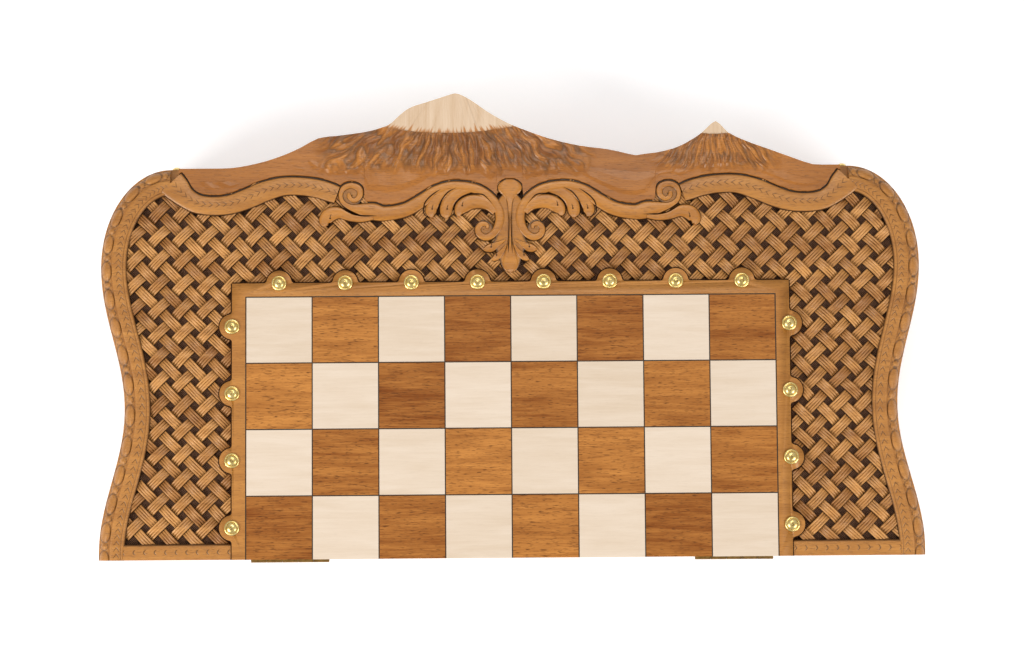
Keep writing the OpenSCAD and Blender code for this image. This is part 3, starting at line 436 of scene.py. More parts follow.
def walk(line, step):
    """The line again, with points one step apart, and the distance of each along it."""
    line = np.array(line, float)
    run = np.concatenate([[0], np.cumsum(np.linalg.norm(np.diff(line[:, :2], axis=0), axis=1))])
    count = max(2, round(run[-1] / step) + 1)
    s = np.linspace(0, run[-1], count)
    return np.stack([np.interp(s, run, line[:, k]) for k in range(line.shape[1])], 1), s


def left_of(line):
    """Unit vectors to the left of each point's heading."""
    heading = np.gradient(line[:, :2], axis=0)
    heading /= np.linalg.norm(heading, axis=1)[:, None]
    return np.stack([-heading[:, 1], heading[:, 0]], 1)


side_line = [(side_half_w(y), y) for y in np.linspace(0, shoulder_y, 90)]
side_line += [(shoulder_x + SHOULDER_RUN * math.cos(a), shoulder_y + (front_y - shoulder_y) * math.sin(a))
              for a in np.linspace(0, math.pi / 2, 40)[1:]]
side_line, side_s = walk(side_line, 1.1)
inward = left_of(side_line)
print("side line", round(side_s[-1]), "mm long,", len(side_line), "points")

# %% The moulding
BEAD, BEAD_HALF, REEL_HALF, BEAD_MID, BEAD_WIDE, BEAD_H = 22.2, 7.4, 2.2, 4.7, 4.0, 1.5
profile = [(0, panel_h - 0.1), (0, 32.2), (0.4, 32.9), (1.2, 33.9), (2.2, 35), (3.2, 35.9), (4.2, 36.6),
           (5.2, 37.15), (6.2, 37.55), (7.2, 37.8), (8.2, 37.9), (8.9, 37.8), (9.3, 38.2), (10, border_top),
           (11.5, border_top + 0.15), (14.2, border_top), (17, border_top - 0.1), (17.6, border_top - 0.45),
           (18.2, border_top - 0.1), (19.2, border_top - 0.2), (19.9, border_top - 0.7), (border_w, 36.5),
           (border_w, panel_h)]
bevel = np.linspace(0.4, 8.9, 16)
flat_part = [p for p in profile if p[0] > 8.9]
across = np.concatenate([[0, 0], bevel, [p[0] for p in flat_part]])
heights = np.interp(across, [p[0] + 1e-6 * i for i, p in enumerate(profile)], [p[1] for p in profile])
heights[0], heights[-1], heights[-2] = panel_h - 0.1, panel_h, 36.5


def beads(s, q):
    """Height of the bead and reel at a place, 0 to 1, and how near it is to a bead's edge."""
    run = np.mod(s + BEAD / 2, BEAD) - BEAD / 2
    long_bead = 1 - (run / BEAD_HALF) ** 2 - ((q - BEAD_MID) / BEAD_WIDE) ** 2
    reel = 1 - ((np.abs(run) - BEAD / 2) / REEL_HALF) ** 2 - ((q - BEAD_MID) / (0.75 * BEAD_WIDE)) ** 2
    top = np.maximum(long_bead, 0.8 * reel)
    return np.sqrt(np.clip(top, 0, 1)), np.clip(1 - np.abs(top + 0.14) / 0.26, 0, 1)


hand = 0.5 * np.sin(side_s / 31) + 0.35 * np.sin(side_s / 12.7)
raised, edge = beads((side_s + hand)[:, None], across[None, :])
on_bevel = (across > 0.3) & (across < bevel_w)
grid = np.empty((len(side_line), len(across), 3))
grid[..., :2] = side_line[:, None, :] + inward[:, None, :] * across[None, :, None]
grid[..., 2] = heights[None, :] + BEAD_H * (raised - 0.75) * (on_bevel * np.clip(across, 0, 1))[None, :]
# Painted shade round each bead's edge, in the groove at 17.6 mm and down the inner wall to the pits.
burn = 0.9 * edge * on_bevel[None, :]
burn[:, across == 17.6] = 0.4
burn[:, -3] = 0.5
burn[:, -2:] = 1.0
values = {"burn": burn, "along": (side_s + hand)[:, None], "across": across[None, :]}
side_grids = [capped(grid, values, panel_h)]

strip_x = np.linspace(frame_half_w - 1, foot_half_w - border_w + 1, 60)
strip_profile = [(0.0, panel_h), (0.0, border_top - 1), (0.5, border_top - 0.3), (1.5, border_top),
                 (10.2, border_top), (11.0, border_top - 0.3), (12, border_top - 1.6), (12, panel_h)]
strip = np.array([[(x, y, h) for y, h in strip_profile] for x in strip_x])
# Painted shade along the strip's falling inner edge.
strip_values = {"burn": np.array([0, 0, 0, 0, 0, 0.5, 1.0, 1.0])[None, :],
                "along": strip_x[:, None], "across": strip[0, :, 1][None, :]}
strip_grids = [capped(strip, strip_values, panel_h)]

for half in UP:
    moulding = carve(f"{half}_side_moulding", half, side_grids + mirrored(side_grids), walnut_border)
    carve(f"{half}_hinge_strips", half, strip_grids + mirrored(strip_grids), walnut_strip)
    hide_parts(f"{half}_border")

# %% [markdown]
# ## The scrollwork
#
# A carver draws the scrolls as flowing stems, sets them in with a knife line and rounds them over. Each
# stem here is a list of points with half its width. A smooth curve through them is swept with a rounded
# section whose edges fall into a groove, painted dark as the shade in it.

# %% The stems
ribbon = [(-257, 285.2, 11), (-252.5, 280.5, 10.4), (-246, 274, 8.4), (-237, 269, 7.7), (-225, 267.4, 7.6),
          (-212, 268.5, 7.8), (-199.5, 272.6, 8.2), (-186.5, 278, 8.2), (-172, 281.9, 7.5),
          (-157, 281.8, 7.4), (-145, 279.8, 7.6), (-137, 277.3, 7.6), (-131.2, 275.2, 7.2)]
scroll = [(-122, 276.4, 1.5), (-121.9, 273.8, 2.4), (-120.4, 271.6, 2.2), (-117.3, 270.9, 2.4),
          (-113.8, 274.6, 2.9), (-114.6, 279.8, 3.2), (-120.3, 282.2, 2.9), (-126, 280.2, 2.8),
          (-128.4, 275, 2.2), (-126.6, 269.4, 2.3), (-120.6, 265.6, 3), (-112.5, 264, 5.2), (-104, 262.4, 7),
          (-95, 260.7, 6.1), (-80, 263.2, 5.8), (-68, 269.6, 5.6), (-57, 277.4, 4.6), (-46, 281.4, 4),
          (-34, 281, 4.3), (-23, 278, 4.3), (-14.5, 272, 4.2), (-9.3, 265, 4.2), (-7.6, 257, 4.1),
          (-9.2, 250, 3.9), (-12.9, 244.7, 3.6), (-18.2, 242, 3.3), (-23, 244.2, 3.2), (-24.4, 248.6, 3),
          (-21.6, 252.2, 2.7), (-17.6, 251.6, 2.2), (-17.2, 248.8, 1.4)]
palmette = [(0, 286.2, 3.5), (0, 284.5, 7), (0, 281.5, 9.6), (0, 277.5, 9.2), (0, 272.5, 4.6), (0, 267, 2.4),
            (0, 260, 1.8), (0, 248, 1.8), (0, 240, 2.2), (0, 233, 4), (0, 226, 6.2), (0, 220.5, 7.2),
            (0, 217, 5), (0, 215.4, 2)]
outer_leaf = [(-104, 257.4, 2), (-112.5, 256.6, 3), (-121, 258, 3.6), (-129.5, 261.4, 5), (-136.8, 260, 6.2),
              (-140.6, 255, 5.2), (-140, 251.4, 2.5)]
outer_lobe = [(-42, 280.4, 3.4), (-50, 277, 4.8), (-55.5, 271.5, 5), (-59.3, 265.5, 5), (-60, 261, 4.6),
              (-59.4, 257.6, 1.8)]
middle_lobe = [(-28, 279.4, 3), (-36.5, 277.4, 4.4), (-43.4, 273, 5), (-47.4, 267.6, 5.4),
               (-48.5, 262.6, 5.4), (-48.4, 259.2, 4.4), (-48.2, 256.9, 1.8)]
inner_lobe = [(-11.5, 261, 3), (-16.5, 266.6, 4.6), (-23, 269.2, 5.7), (-30, 269, 6.2), (-36, 265.6, 6),
              (-38.8, 261.4, 4.2), (-39, 258.4, 2)]
upper_leaf = [(-3.6, 240, 0.8), (-8, 237.6, 2.2), (-13.5, 234.6, 3.9), (-17.8, 233.2, 3.2), (-20, 232.8, 1.2)]
lower_leaf = [(-3, 236.2, 0.8), (-5.6, 232, 2.2), (-9.2, 228, 3.4), (-12.4, 225.6, 2.5), (-13.9, 225, 1)]
# Cuts made with the tip of a knife: between the lobes, along the leaf, and beside the palmette's stalk
knife_cuts = [
    [(-52.6, 279), (-59.5, 274.3), (-64.1, 269.3), (-65.5, 264.2), (-65, 260), (-61.6, 257.4)],
    [(-40.6, 280), (-46.8, 276.8), (-51.1, 271.7), (-54, 265.8), (-54.6, 260.7), (-53.2, 257.6)],
    [(-13.4, 267.6), (-19.1, 273.7), (-23.3, 275.1), (-28.3, 275.2), (-35.1, 273.8), (-40.1, 270),
     (-42.5, 265.8), (-42.3, 260.7), (-39.7, 257.9)],
    [(-130, 266.6), (-120.9, 261.2), (-112.4, 259.2), (-101, 258.9)],
    [(-0.6, 262), (-0.9, 250), (-1.2, 238), (-1.6, 230)],
]
dots = [(-36.2, 266.3), (-47.7, 263.8), (-59, 263.9), (-14.5, 234.7), (-10.4, 228.4), (-136.4, 257.2)]


def smooth(points, per=8):
    """A smooth curve through the points, with their widths."""
    p = np.array(points, float)
    p = np.concatenate([p[:1], p, p[-1:]])
    t = np.linspace(0, 1, per, endpoint=False)[:, None]
    parts = []
    for a, b, c, d in zip(p[:-3], p[1:-2], p[2:-1], p[3:]):
        parts.append(b + t / 2 * (c - a) + t ** 2 * (a - 2.5 * b + 2 * c - d / 2)
                     + t ** 3 / 2 * (3 * b - a - 3 * c + d))
    return np.concatenate(parts + [p[-1:]])


CROWN = half_h - 0.8
EDGE_STEPS = np.array([0.0, 0.0, 0.5, 1.15])


def sweep(points, crown=CROWN, fall=1.6, step=1.2, hollow=0.0):
    """A stem with a rounded section. `hollow` sinks its middle, as a gouge leaves it."""
    line, s = walk(smooth(points), step)
    side = left_of(line)
    width = line[:, 2]
    inner = np.linspace(-0.86, 0.86, 9)
    offset = np.empty((len(line), 17))
    edge = np.minimum(EDGE_STEPS[None, :], width[:, None] * np.array([0, 0, 0.2, 0.4])[None, :])
    offset[:, :4] = -width[:, None] + edge
    offset[:, 4:13] = inner[None, :] * (width[:, None] - edge[:, 3:4])
    offset[:, 13:] = width[:, None] - edge[:, ::-1]
    share = offset / width[:, None]
    drop = fall * np.minimum(1, width / 4)[:, None] * np.abs(share) ** 2.5
    height = crown - drop - hollow * np.minimum(1, width / 4)[:, None] * (1 - share ** 2) ** 2
    height[:, [1, 15]] -= 1.6
    height[:, [2, 14]] -= 0.5
    height[:, [0, 16]] = panel_h
    grid = np.empty((len(line), 17, 3))
    grid[..., :2] = line[:, None, :2] + side[:, None, :] * offset[..., None]
    grid[..., 2] = height
    # Painted shade: the edges and the groove beside them are dark.
    burn = np.zeros(17)
    burn[[0, 1, 2, 14, 15, 16]] = 1, 1, 0.95, 0.95, 1, 1
    return capped(grid, {"burn": burn[None, :], "along": s[:, None], "across": offset}, panel_h)


ribbon_grids = [sweep(ribbon, fall=1.2)]
stem_grids = [sweep(scroll, hollow=0.5), sweep(outer_leaf, crown=CROWN - 0.1, hollow=0.7)]
for lobe in (outer_lobe, middle_lobe, inner_lobe, upper_leaf, lower_leaf):
    stem_grids.append(sweep(lobe, crown=CROWN - 0.1, hollow=0.6, step=0.8))
middle_grids = [sweep(palmette, hollow=0.8)]
print(sum(grid.shape[0] for grid, _ in stem_grids), "sections")

# %% [markdown]
# ## Lines cut with the tip of a knife
#
# Between the lobes and along the leaves the carver cut a fine line, and ended each lobe with a dot. Each
# is drawn as a thin strip painted dark, the shade in the cut. These lie in the surface of the stems, so each
# point is dropped onto it from above. A disc closes the gaps in each volute, and a smooth floor fills both
# sides of the palmette's stalk; both carry a little painted shade, full at their edges.

# %% Knife cuts and dots


def tree_of(grids):
    """Something to drop points on: the surface of several grids, in the carving's millimetres."""
    points, faces, start = [], [], 0
    for grid, _ in grids:
        points += grid.reshape(-1, 3).tolist()
        faces += quads_of(grid, start).tolist()
        start += grid.shape[0] * grid.shape[1]
    return BVHTree.FromPolygons(points, faces)


def drop_on(tree, x, y, default):
    hit = tree.ray_cast(Vector((x, y, 2 * half_h)), Vector((0, 0, -1)))[0]
    return default if hit is None else hit.z


carved_top = tree_of(ribbon_grids + stem_grids + middle_grids)


def volute_floor(x, y, radius):
    """A disc that closes the gaps in a volute, so that only its line stays dark. It carries a little painted
    shade, and full painted shade at its rim.
    """
    turns = np.linspace(0, 2 * math.pi, 33)
    rings = np.array([0.05, 0.4, 0.8, 1.0]) * radius
    disc = np.array([[(x + r * math.cos(a), y + r * math.sin(a), CROWN - 1.3) for r in rings] for a in turns])
    return disc, {"burn": np.array([0.25, 0.25, 0.4, 1.0])[None, :], **UNMARKED}


def knife_cut(points, width=0.95, taper=4.0, lift=0.1):
    """A thin strip of painted shade, the dark of a cut, that lies in the surface, narrow at both ends."""
    line, s = walk(smooth([(x, y, 0) for x, y in points]), 0.6)
    side = left_of(line)
    t = s / s[-1]
    half_width = width / 2 * np.clip(taper * np.minimum(t, 1 - t) + 0.12, 0, 1)
    grid = np.empty((len(line), 3, 3))
    for k in range(3):
        grid[:, k, :2] = line[:, :2] + side * (half_width * (k - 1))[:, None]
    for place in grid.reshape(-1, 3):
        place[2] = drop_on(carved_top, place[0], place[1], CROWN - 2) + lift
    return grid, {"burn": np.ones(1), **UNMARKED}


# Half the width of the smooth valley on both sides of the palmette's stalk, by distance from the hinge
valley = [(216, 4), (221, 7), (227, 8.5), (233, 11), (238, 13), (243, 10.5), (262, 9), (269, 10.2), (272, 8),
          (275, 5)]
valley_y = np.linspace(valley[0][0], valley[-1][0], 35)
valley_w = np.interp(valley_y, *zip(*valley))
across = np.linspace(-1, 1, 11)
# The valley floor carries a little painted shade, and full painted shade at its edges beside the stems.
valley_floor = (np.array([[(t * w, y, CROWN - 1.4 + 0.5 * t ** 2) for t in across]
                          for y, w in zip(valley_y, valley_w)]),
                {"burn": (0.12 + 0.88 * (np.abs(across) > 0.9))[None, :], **UNMARKED})
volutes = [volute_floor(-119.8, 274.8, 8.0), volute_floor(-20.0, 248.2, 6.8)]
cut_grids = [knife_cut(points) for points in knife_cuts]
# Each dot is a short tail and a short wide strip, both painted dark as the shade in a small pit.
cut_grids += [knife_cut([(x + 0.9, y + 3.4), (x + 0.2, y + 1.6), (x, y)], 0.45) for x, y in dots]
cut_grids += [knife_cut([(x - 0.7, y), (x, y - 0.05), (x + 0.7, y)], 1.5, 12.0, 0.14) for x, y in dots]
for half in UP:
    carve(f"{half}_ribbons", half, ribbon_grids + mirrored(ribbon_grids), walnut_ribbon)
    carve(f"{half}_knife_cuts", half, cut_grids + mirrored(cut_grids), shade_strip)
    sides = stem_grids + volutes
    grids = sides + mirrored(sides) + middle_grids + [valley_floor]
    scrollwork = carve(f"{half}_scrollwork", half, grids, walnut_carved)
    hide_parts(f"{half}_scrolls")

# %% [markdown]
# ## The basket weave
#
# The field looks woven from flat strands that lean left and right by turns. Each is arched, dives under
# its neighbours and has fine grooves along it. One strand is a small grid of points. It is set at every
# place of a lattice at 45 degrees, with small seeded differences, as hand carving has. A strand
# that nothing shows of, under the frame or the scrollwork, is left out.

# %% One strand
PITCH, STRAND_W, STRAND_GAP, ARCH = 18.4, 7.7, 0.3, 2.6
WEAVE_TOP = half_h - 3
STRAND_L = PITCH * math.sqrt(2) - STRAND_W - STRAND_GAP
RIBS = 4
chance = random.Random(7)

strand_u = np.linspace(-0.5, 0.5, 9)
strand_v = np.linspace(-0.5, 0.5, 25)
strand_u = np.concatenate([strand_u[:1], strand_u, strand_u[-1:]])
strand_v = np.concatenate([strand_v[:1], strand_v, strand_v[-1:]])
print("strands of", round(STRAND_L, 1), "by", STRAND_W, "mm")


def strand(x, y, lean):
    turn = math.radians(45 * lean + chance.uniform(-1.6, 1.6))
    u, v = np.meshgrid(strand_u, strand_v, indexing="ij")
    groove = (0.5 + 0.5 * np.cos(2 * np.pi * RIBS * (v + 0.5))) ** 3
    groove *= 0.75 + 0.25 * np.sin(7 * u + 5 * v + chance.uniform(0, 6))
    height = WEAVE_TOP - ARCH * (2 * u) ** 2 - chance.uniform(0.6, 0.9) * groove
    height += 0.3 * (1 - (2 * v) ** 2) * math.cos(chance.uniform(0, 6))
    height[:, [1, -2]] -= 0.5
    height[[0, -1]] = panel_h
    height[:, [0, -1]] = panel_h
    # Painted shade: dark in the grooves, at the ends and down the sides, where each strand dives into the
    # pits.
    burn = 0.66 * groove * (0.7 + 0.3 * np.cos(5 * u + chance.uniform(0, 6)))
    burn[[0, -1]] = 1
    burn[:, [0, 1, -2, -1]] = 1
    length = STRAND_L * chance.uniform(0.97, 1.0)
    px = u * length * math.cos(turn) - v * STRAND_W * math.sin(turn)
    py = u * length * math.sin(turn) + v * STRAND_W * math.cos(turn)
    grid = np.stack([px + x, py + y, height], -1)
    tone = np.clip(chance.random() * 0.7 + 0.3 * np.sin(19 * v + chance.uniform(0, 6)) ** 2, 0, 1)
    return grid, {"burn": burn, "tone": tone}

# %% Where strands show
cover = {}
for name in ("lid_board_frame", "lid_border", "lid_scrolls", "lid_ridge", "lid_panel"):
    mesh = nodes[name].data
    mesh.calc_loop_triangles()
    cover[name] = BVHTree.FromPolygons([v.co[:] for v in mesh.vertices],
                                       [t.vertices[:] for t in mesh.loop_triangles])


def surface(name, x, y):
    """Height of a solid's top at a place, above the seam, or None beside it."""
    above = Vector((x * MM, (y + hinge_y) * MM, (seam_z + 2 * half_h) * MM))
    hit = cover[name].ray_cast(above, Vector((0, 0, -1)))[0]
    return None if hit is None else hit.z / MM - seam_z


def shows(x, y):
    if surface("lid_panel", x, y) is None:
        return False
    return all(surface(name, x, y) is None for name in cover if name != "lid_panel")


weave_grids = []
for i in range(-18, 18):
    for j in range(-1, 17):
        for lean in (1, -1):
            back = 0.5 if lean == -1 else 0
            x, y = 9.4 + (i + back) * PITCH, 5.5 + (j + back) * PITCH
            if abs(x) > waist_half_w + 12 or y > 290:
                continue
            if abs(x) < frame_half_w - 6 and y < frame_d - 6:
                continue
            run = 0.7 * STRAND_L
            if any(shows(x + a * run, y + lean * a * run) for a in (-0.45, -0.2, 0, 0.2, 0.45)):
                weave_grids.append(strand(x, y, lean))
for half in UP:
    weave = carve(f"{half}_basket_weave", half, weave_grids, walnut_weave)
    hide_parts(f"{half}_weave")
print(len(weave_grids), "strands in each half")

# %% [markdown]
# ## The ground between the strands
#
# The pits are cut down to a ground that the carver hatched. Its very dark colour is painted shade of the
# deep pits, with lighter hatch lines. It is a thin skin over the panel, under everything else.

# %% The ground
ground, tree, shader = new_material("burnt ground")
position = add(tree, "TexCoord").outputs["Object"]
hatch = None
for angle in (45, -45):
    turned = add(tree, "Mapping", {"Vector": position, "Rotation": (0, 0, math.radians(angle + 6)),
                                   "Scale": (900, 900, 900)}).outputs[0]
    wave = add(tree, "TexWave", {"Vector": turned, "Scale": 0.31, "Distortion": 1.2, "Detail": 1.0})
    wave = wave.outputs["Fac"]
    hatch = wave if hatch is None else calc(tree, "MULTIPLY", hatch, wave)
hatch = calc(tree, "POWER", hatch, 0.7)
# Painted shade: the hatch runs from near black, the shade down in the pits, to a mid brown.
tree.links.new(blend(tree, hatch, srgb(36, 21, 12), srgb(146, 94, 54)), shader.inputs["Base Color"])
tree.links.new(remap(tree, hatch, 0.0, 1.0, 0.75, 0.5), shader.inputs["Roughness"])
tree.links.new(add(tree, "Bump", {"Height": hatch, "Strength": 0.7, "Distance": 0.001}).outputs[0],
               shader.inputs["Normal"])
GROUND_H = WEAVE_TOP - 4.3
GROUND_INSET = 14


def outline_half_w(y):
    if y < shoulder_y:
        return side_half_w(y)
    return shoulder_x + SHOULDER_RUN * math.sqrt(1 - ((y - shoulder_y) / (front_y - shoulder_y)) ** 2)


grid = np.array([[(t * (outline_half_w(y) - GROUND_INSET), y, GROUND_H) for t in np.linspace(-1, 1, 30)]
                 for y in np.linspace(8, 284, 70)])
for half in UP:
    carve(f"{half}_ground", half, [(grid, {"burn": np.ones(1)})], ground)

# %% [markdown]
# ## The ridge
#
# Below the snow the carver cut strokes that run down from each peak and fade into a smooth, polished
# foot. The solid gives the big form. This skin follows it closely and adds the strokes: noise that is
# pulled out long in the direction down from the peak. The skin lies just over the solid, so that the
# solid still closes the sides.

# %% Outline of the ridge, read off the solids


def extremes(name, pick):
    """Highest or lowest point, out from the hinge, at each column of a solid."""
    found = {}
    for v in nodes[name].data.vertices:
        x, y = round(v.co.x / MM, 1), v.co.y / MM - hinge_y
        found[x] = pick(found.get(x, y), y)
    xs = sorted(found)
    return np.array(xs), np.array([found[x] for x in xs])


foot_x, foot_line = extremes("lid_ridge", min)
walnut_x, walnut_line = extremes("lid_ridge", max)
snow_x, snow_top = extremes("lid_snow_caps", max)
_, snow_foot = extremes("lid_snow_caps", min)
mesh = nodes["lid_snow_caps"].data
mesh.calc_loop_triangles()
cover["lid_snow_caps"] = BVHTree.FromPolygons([v.co[:] for v in mesh.vertices],
                                              [t.vertices[:] for t in mesh.loop_triangles])
gap = int(np.argmax(np.diff(snow_x)))
caps = [(snow_x[:gap + 1], snow_top[:gap + 1], snow_foot[:gap + 1]),
        (snow_x[gap + 1:], snow_top[gap + 1:], snow_foot[gap + 1:])]
peaks = [(float(xs[np.argmax(top)]), float(top.max())) for xs, top, _ in caps]
print("peaks at", peaks)

# %% The strokes
STROKE_END = 292.0
# The strokes fan out from a point this far beyond each peak
FAN = 22
# How far the ridge's foot runs under the scrollwork, and how far it may look for it
UNDER, SEARCH = 0.9, 12


def stroke(x, y, peak):
    """The chisel strokes at a place: their height, 0 to 1, how dark their cuts are painted as shade, and how
    light their crests are painted as highlight.
    """
    dx, dy = x - peak[0], peak[1] + FAN - y
    away = math.hypot(dx, dy)
    swing = math.atan2(dx, dy) + 0.045 * noise.noise(Vector((x / 16, y / 11, 4.0)))
    wide = noise.noise(Vector((swing * 19, away / 16, 7.0)))
    narrow = noise.noise(Vector((swing * 42, away / 10, 1.0)))
    cut = max(1 - abs(wide) * 5, 0.7 - abs(narrow) * 4, 0)
    return min(1.0, 0.4 + 1.1 * abs(wide) + 0.5 * narrow), min(1.0, cut), 0.66 + wide + 0.7 * narrow


def stroke_share(x, y, peak, reach):
    """1 where the strokes are full, falling to 0 along a ragged line at the foot and beside each peak."""
    ragged = 7 * noise.noise(Vector((x / 5, 0.0, 5.0)))
    return clamp((y - STROKE_END - ragged) / 6) * clamp((reach - abs(x - peak[0])) / 14)


def relief(xs, rows_of, peak_of, lift=0.12, deep=1.1, solid="lid_ridge", rows=110, groove=0.0):
    """A skin over the solid between two lines, cut with strokes, with a groove along its foot painted dark as
    shade. The strokes get painted shade in their cuts and a painted highlight on their crests.
    """
    grid = np.empty((len(xs), rows + 1, 3))
    burn = np.zeros((len(xs), rows + 1))
    tone = np.full((len(xs), rows + 1), 0.5)
    for i, x in enumerate(xs):
        foot, solid_foot, top = rows_of(x)
        peak, reach = peak_of(x)
        for k in range(rows + 1):
            y = foot + (top - foot) * k / rows
            h = None
            for inset in (0.0, 0.15, 0.4, 0.9):
                h = surface(solid, x, min(max(y, solid_foot + inset), top - inset))
                if h is not None:
                    break
            h = max(h or 0, WEAVE_TOP + 0.5)
            share = stroke_share(x, y, peak, reach)
            if share > 0:
                rise, cut, light = stroke(x, y, peak)
                h += deep * rise * share
                # Painted shade in the stroke cuts, and a painted highlight on their crests with a little
                # shade over the stroked part.
                burn[i, k] = 0.6 * cut * share
                tone[i, k] = 0.5 + (0.8 * (light - 0.5) - 0.1) * share
            # Painted shade in the groove along the foot.
            near = clamp((foot + groove - y) / 0.6)
            burn[i, k] = max(burn[i, k], near)
            grid[i, k] = (x, y, h + lift - 1.1 * near)
    return grid, {"burn": burn, "tone": np.clip(tone, 0, 1), **UNMARKED}


def walnut_rows(x):
    """The foot runs on past the solid, until it is under the scrollwork."""
    solid_foot = float(np.interp(x, foot_x, foot_line))
    foot = solid_foot
    while foot > solid_foot - SEARCH and drop_on(carved_top, -abs(x), foot + UNDER, 0) == 0:
        foot -= 0.4
    return foot, solid_foot, float(np.interp(x, walnut_x, walnut_line))


def nearest_peak(x):
    main = abs(x - peaks[0][0]) < abs(x - peaks[1][0]) + 40
    return (peaks[0], 108.0) if main else (peaks[1], 50.0)


tip_x = float(foot_x[-1])
ridge_grid = relief(np.arange(-tip_x + 0.3, tip_x, 0.65), walnut_rows, nearest_peak, rows=130, groove=2.2)
for half in UP:
    carve(f"{half}_carved_ridge", half, [ridge_grid], walnut_ridge, crease=math.radians(80))

# %% [markdown]
# ## The snow
#
# The peaks are inlaid with pale maple, smooth with faint streaks down the slope. The lower edge is
# ragged, as fingers of snow run into the walnut.

# %% The snow caps
FINGER, FINGER_BLUR, SNOW_ROWS = 10.0, 2.4, 48
for number, (cap_x, top, foot) in enumerate(caps):
    def snow_rows(x, cap_x=cap_x, top=top, foot=foot):
        low_y = float(np.interp(x, cap_x, foot))
        return low_y, low_y, float(np.interp(x, cap_x, top))

    def snow_peak(x, number=number):
        return peaks[number], 0.0

    columns = max(40, int((cap_x[-1] - cap_x[0]) / 0.5))
    grid, values = relief(np.linspace(cap_x[0], cap_x[-1], columns), snow_rows, snow_peak, lift=0.35,
                          solid="lid_snow_caps", rows=SNOW_ROWS)
    for i in range(columns):
        for k in range(SNOW_ROWS + 1):
            x, y, h = grid[i, k]
            swing = math.atan2(x - peaks[number][0], peaks[number][1] + FAN - y)
            wall = (noise.noise(Vector((swing * 24, 3.0, 2.0)))
                    + 0.6 * noise.noise(Vector((swing * 55, 8.0, 2.0))))
            finger = FINGER * min(1.0, (top.max() - foot.min()) / 40) * max(0.12, 0.35 + 0.9 * wall)
            above = y - grid[i, 0, 1]
            values["burn"][i, k] = clamp((finger - above) / FINGER_BLUR)
            grid[i, k, 2] = h + 0.35 * wall * min(1.0, above / 6)
    for half in UP:
        carve(f"{half}_snow_{number + 1}", half, [(grid, values)], maple_snow,
              crease=math.radians(80))

# %% [markdown]
# ## Softened solids
#
# The board's frame, the rails and the brass plates already have their true shape in the frame. A real
# edge is never razor sharp, so each gets a copy of its mesh with a small rounded bevel that catches the
# light. The copy stands for the solid.

# %% Rounding the edges


def body_name(node):
    body = body_of(nodes[node])
    return body if isinstance(body, str) else list(body)[0]


def set_piece(name, mesh, material, body):
    mesh.materials.clear()
    mesh.materials.append(material)
    piece = bpy.data.objects.new(name, mesh)
    bpy.context.scene.collection.objects.link(piece)
    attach(piece, body)
    print(name, len(mesh.polygons), "faces")
    return piece


def soften(node, name, material, width, segments=2, angle=math.radians(35)):
    work = bmesh.new()
    work.from_mesh(nodes[node].data)
    bmesh.ops.remove_doubles(work, verts=work.verts, dist=0.00001)
    bmesh.ops.dissolve_limit(work, angle_limit=math.radians(2), verts=work.verts, edges=work.edges)
    sharp = [e for e in work.edges if len(e.link_faces) == 2 and e.calc_face_angle(0) > angle]
    bmesh.ops.bevel(work, geom=sharp, offset=width * MM, segments=segments, affect="EDGES",
                    clamp_overlap=True)
    mesh = bpy.data.meshes.new(name)
    work.to_mesh(mesh)
    work.free()
    mesh.shade_smooth()
    mesh.set_sharp_from_angle(angle=math.radians(40))
    piece = set_piece(name, mesh, material, body_name(node))
    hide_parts(node)
    return piece


def burnt_rim(node, name, half, width=1.0, below=0.5, drop=1.6):
    """A strip of painted shadow round the top of a solid, where the ground beside it was cut down."""
    face_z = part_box(node)[1].z if half == "lid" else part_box(node)[0].z
    work = bmesh.new()
    work.from_mesh(nodes[node].data)
    bmesh.ops.remove_doubles(work, verts=work.verts, dist=0.00001)
    points, faces = [], []
    for edge in work.edges:
        flat = [f for f in edge.link_faces if abs(f.normal.z) > 0.9]
        wall = [f for f in edge.link_faces if abs(f.normal.z) < 0.3]
        on_top = all(abs(v.co.z - face_z) < 0.00005 for v in edge.verts)
        middle = (edge.verts[0].co + edge.verts[1].co) / 2
        hidden = middle.y < (hinge_y + 1) * MM or abs(middle.x) < (frame_half_w - 9) * MM \
            and middle.y < (hinge_y + frame_d - 9) * MM
        if len(flat) != 1 or len(wall) != 1 or not on_top or hidden:
            continue
        out = wall[0].normal * width * MM
        start = len(points)
        for v in edge.verts:
            points += [v.co + Vector((0, 0, -UP[half] * below * MM)),
                       v.co + out + Vector((0, 0, -UP[half] * drop * MM))]
        faces.append((start, start + 1, start + 3, start + 2))
    work.free()
    mesh = bpy.data.meshes.new(name)
    mesh.from_pydata([p[:] for p in points], [], faces)
    return set_piece(name, mesh, shade_strip, half)


for half in UP:
    soften(f"{half}_board_frame", f"{half}_frame_round_board", walnut, 0.5)
    burnt_rim(f"{half}_board_frame", f"{half}_burnt_rim", half)

# %% [markdown]
# ## Brass
#
# The studs, hinges and hooks are polished brass. Brass is a metal with a yellow base colour. Fine
# scratches and a little tarnish vary its roughness, so it doesn't look like plastic.

# %% The brass material


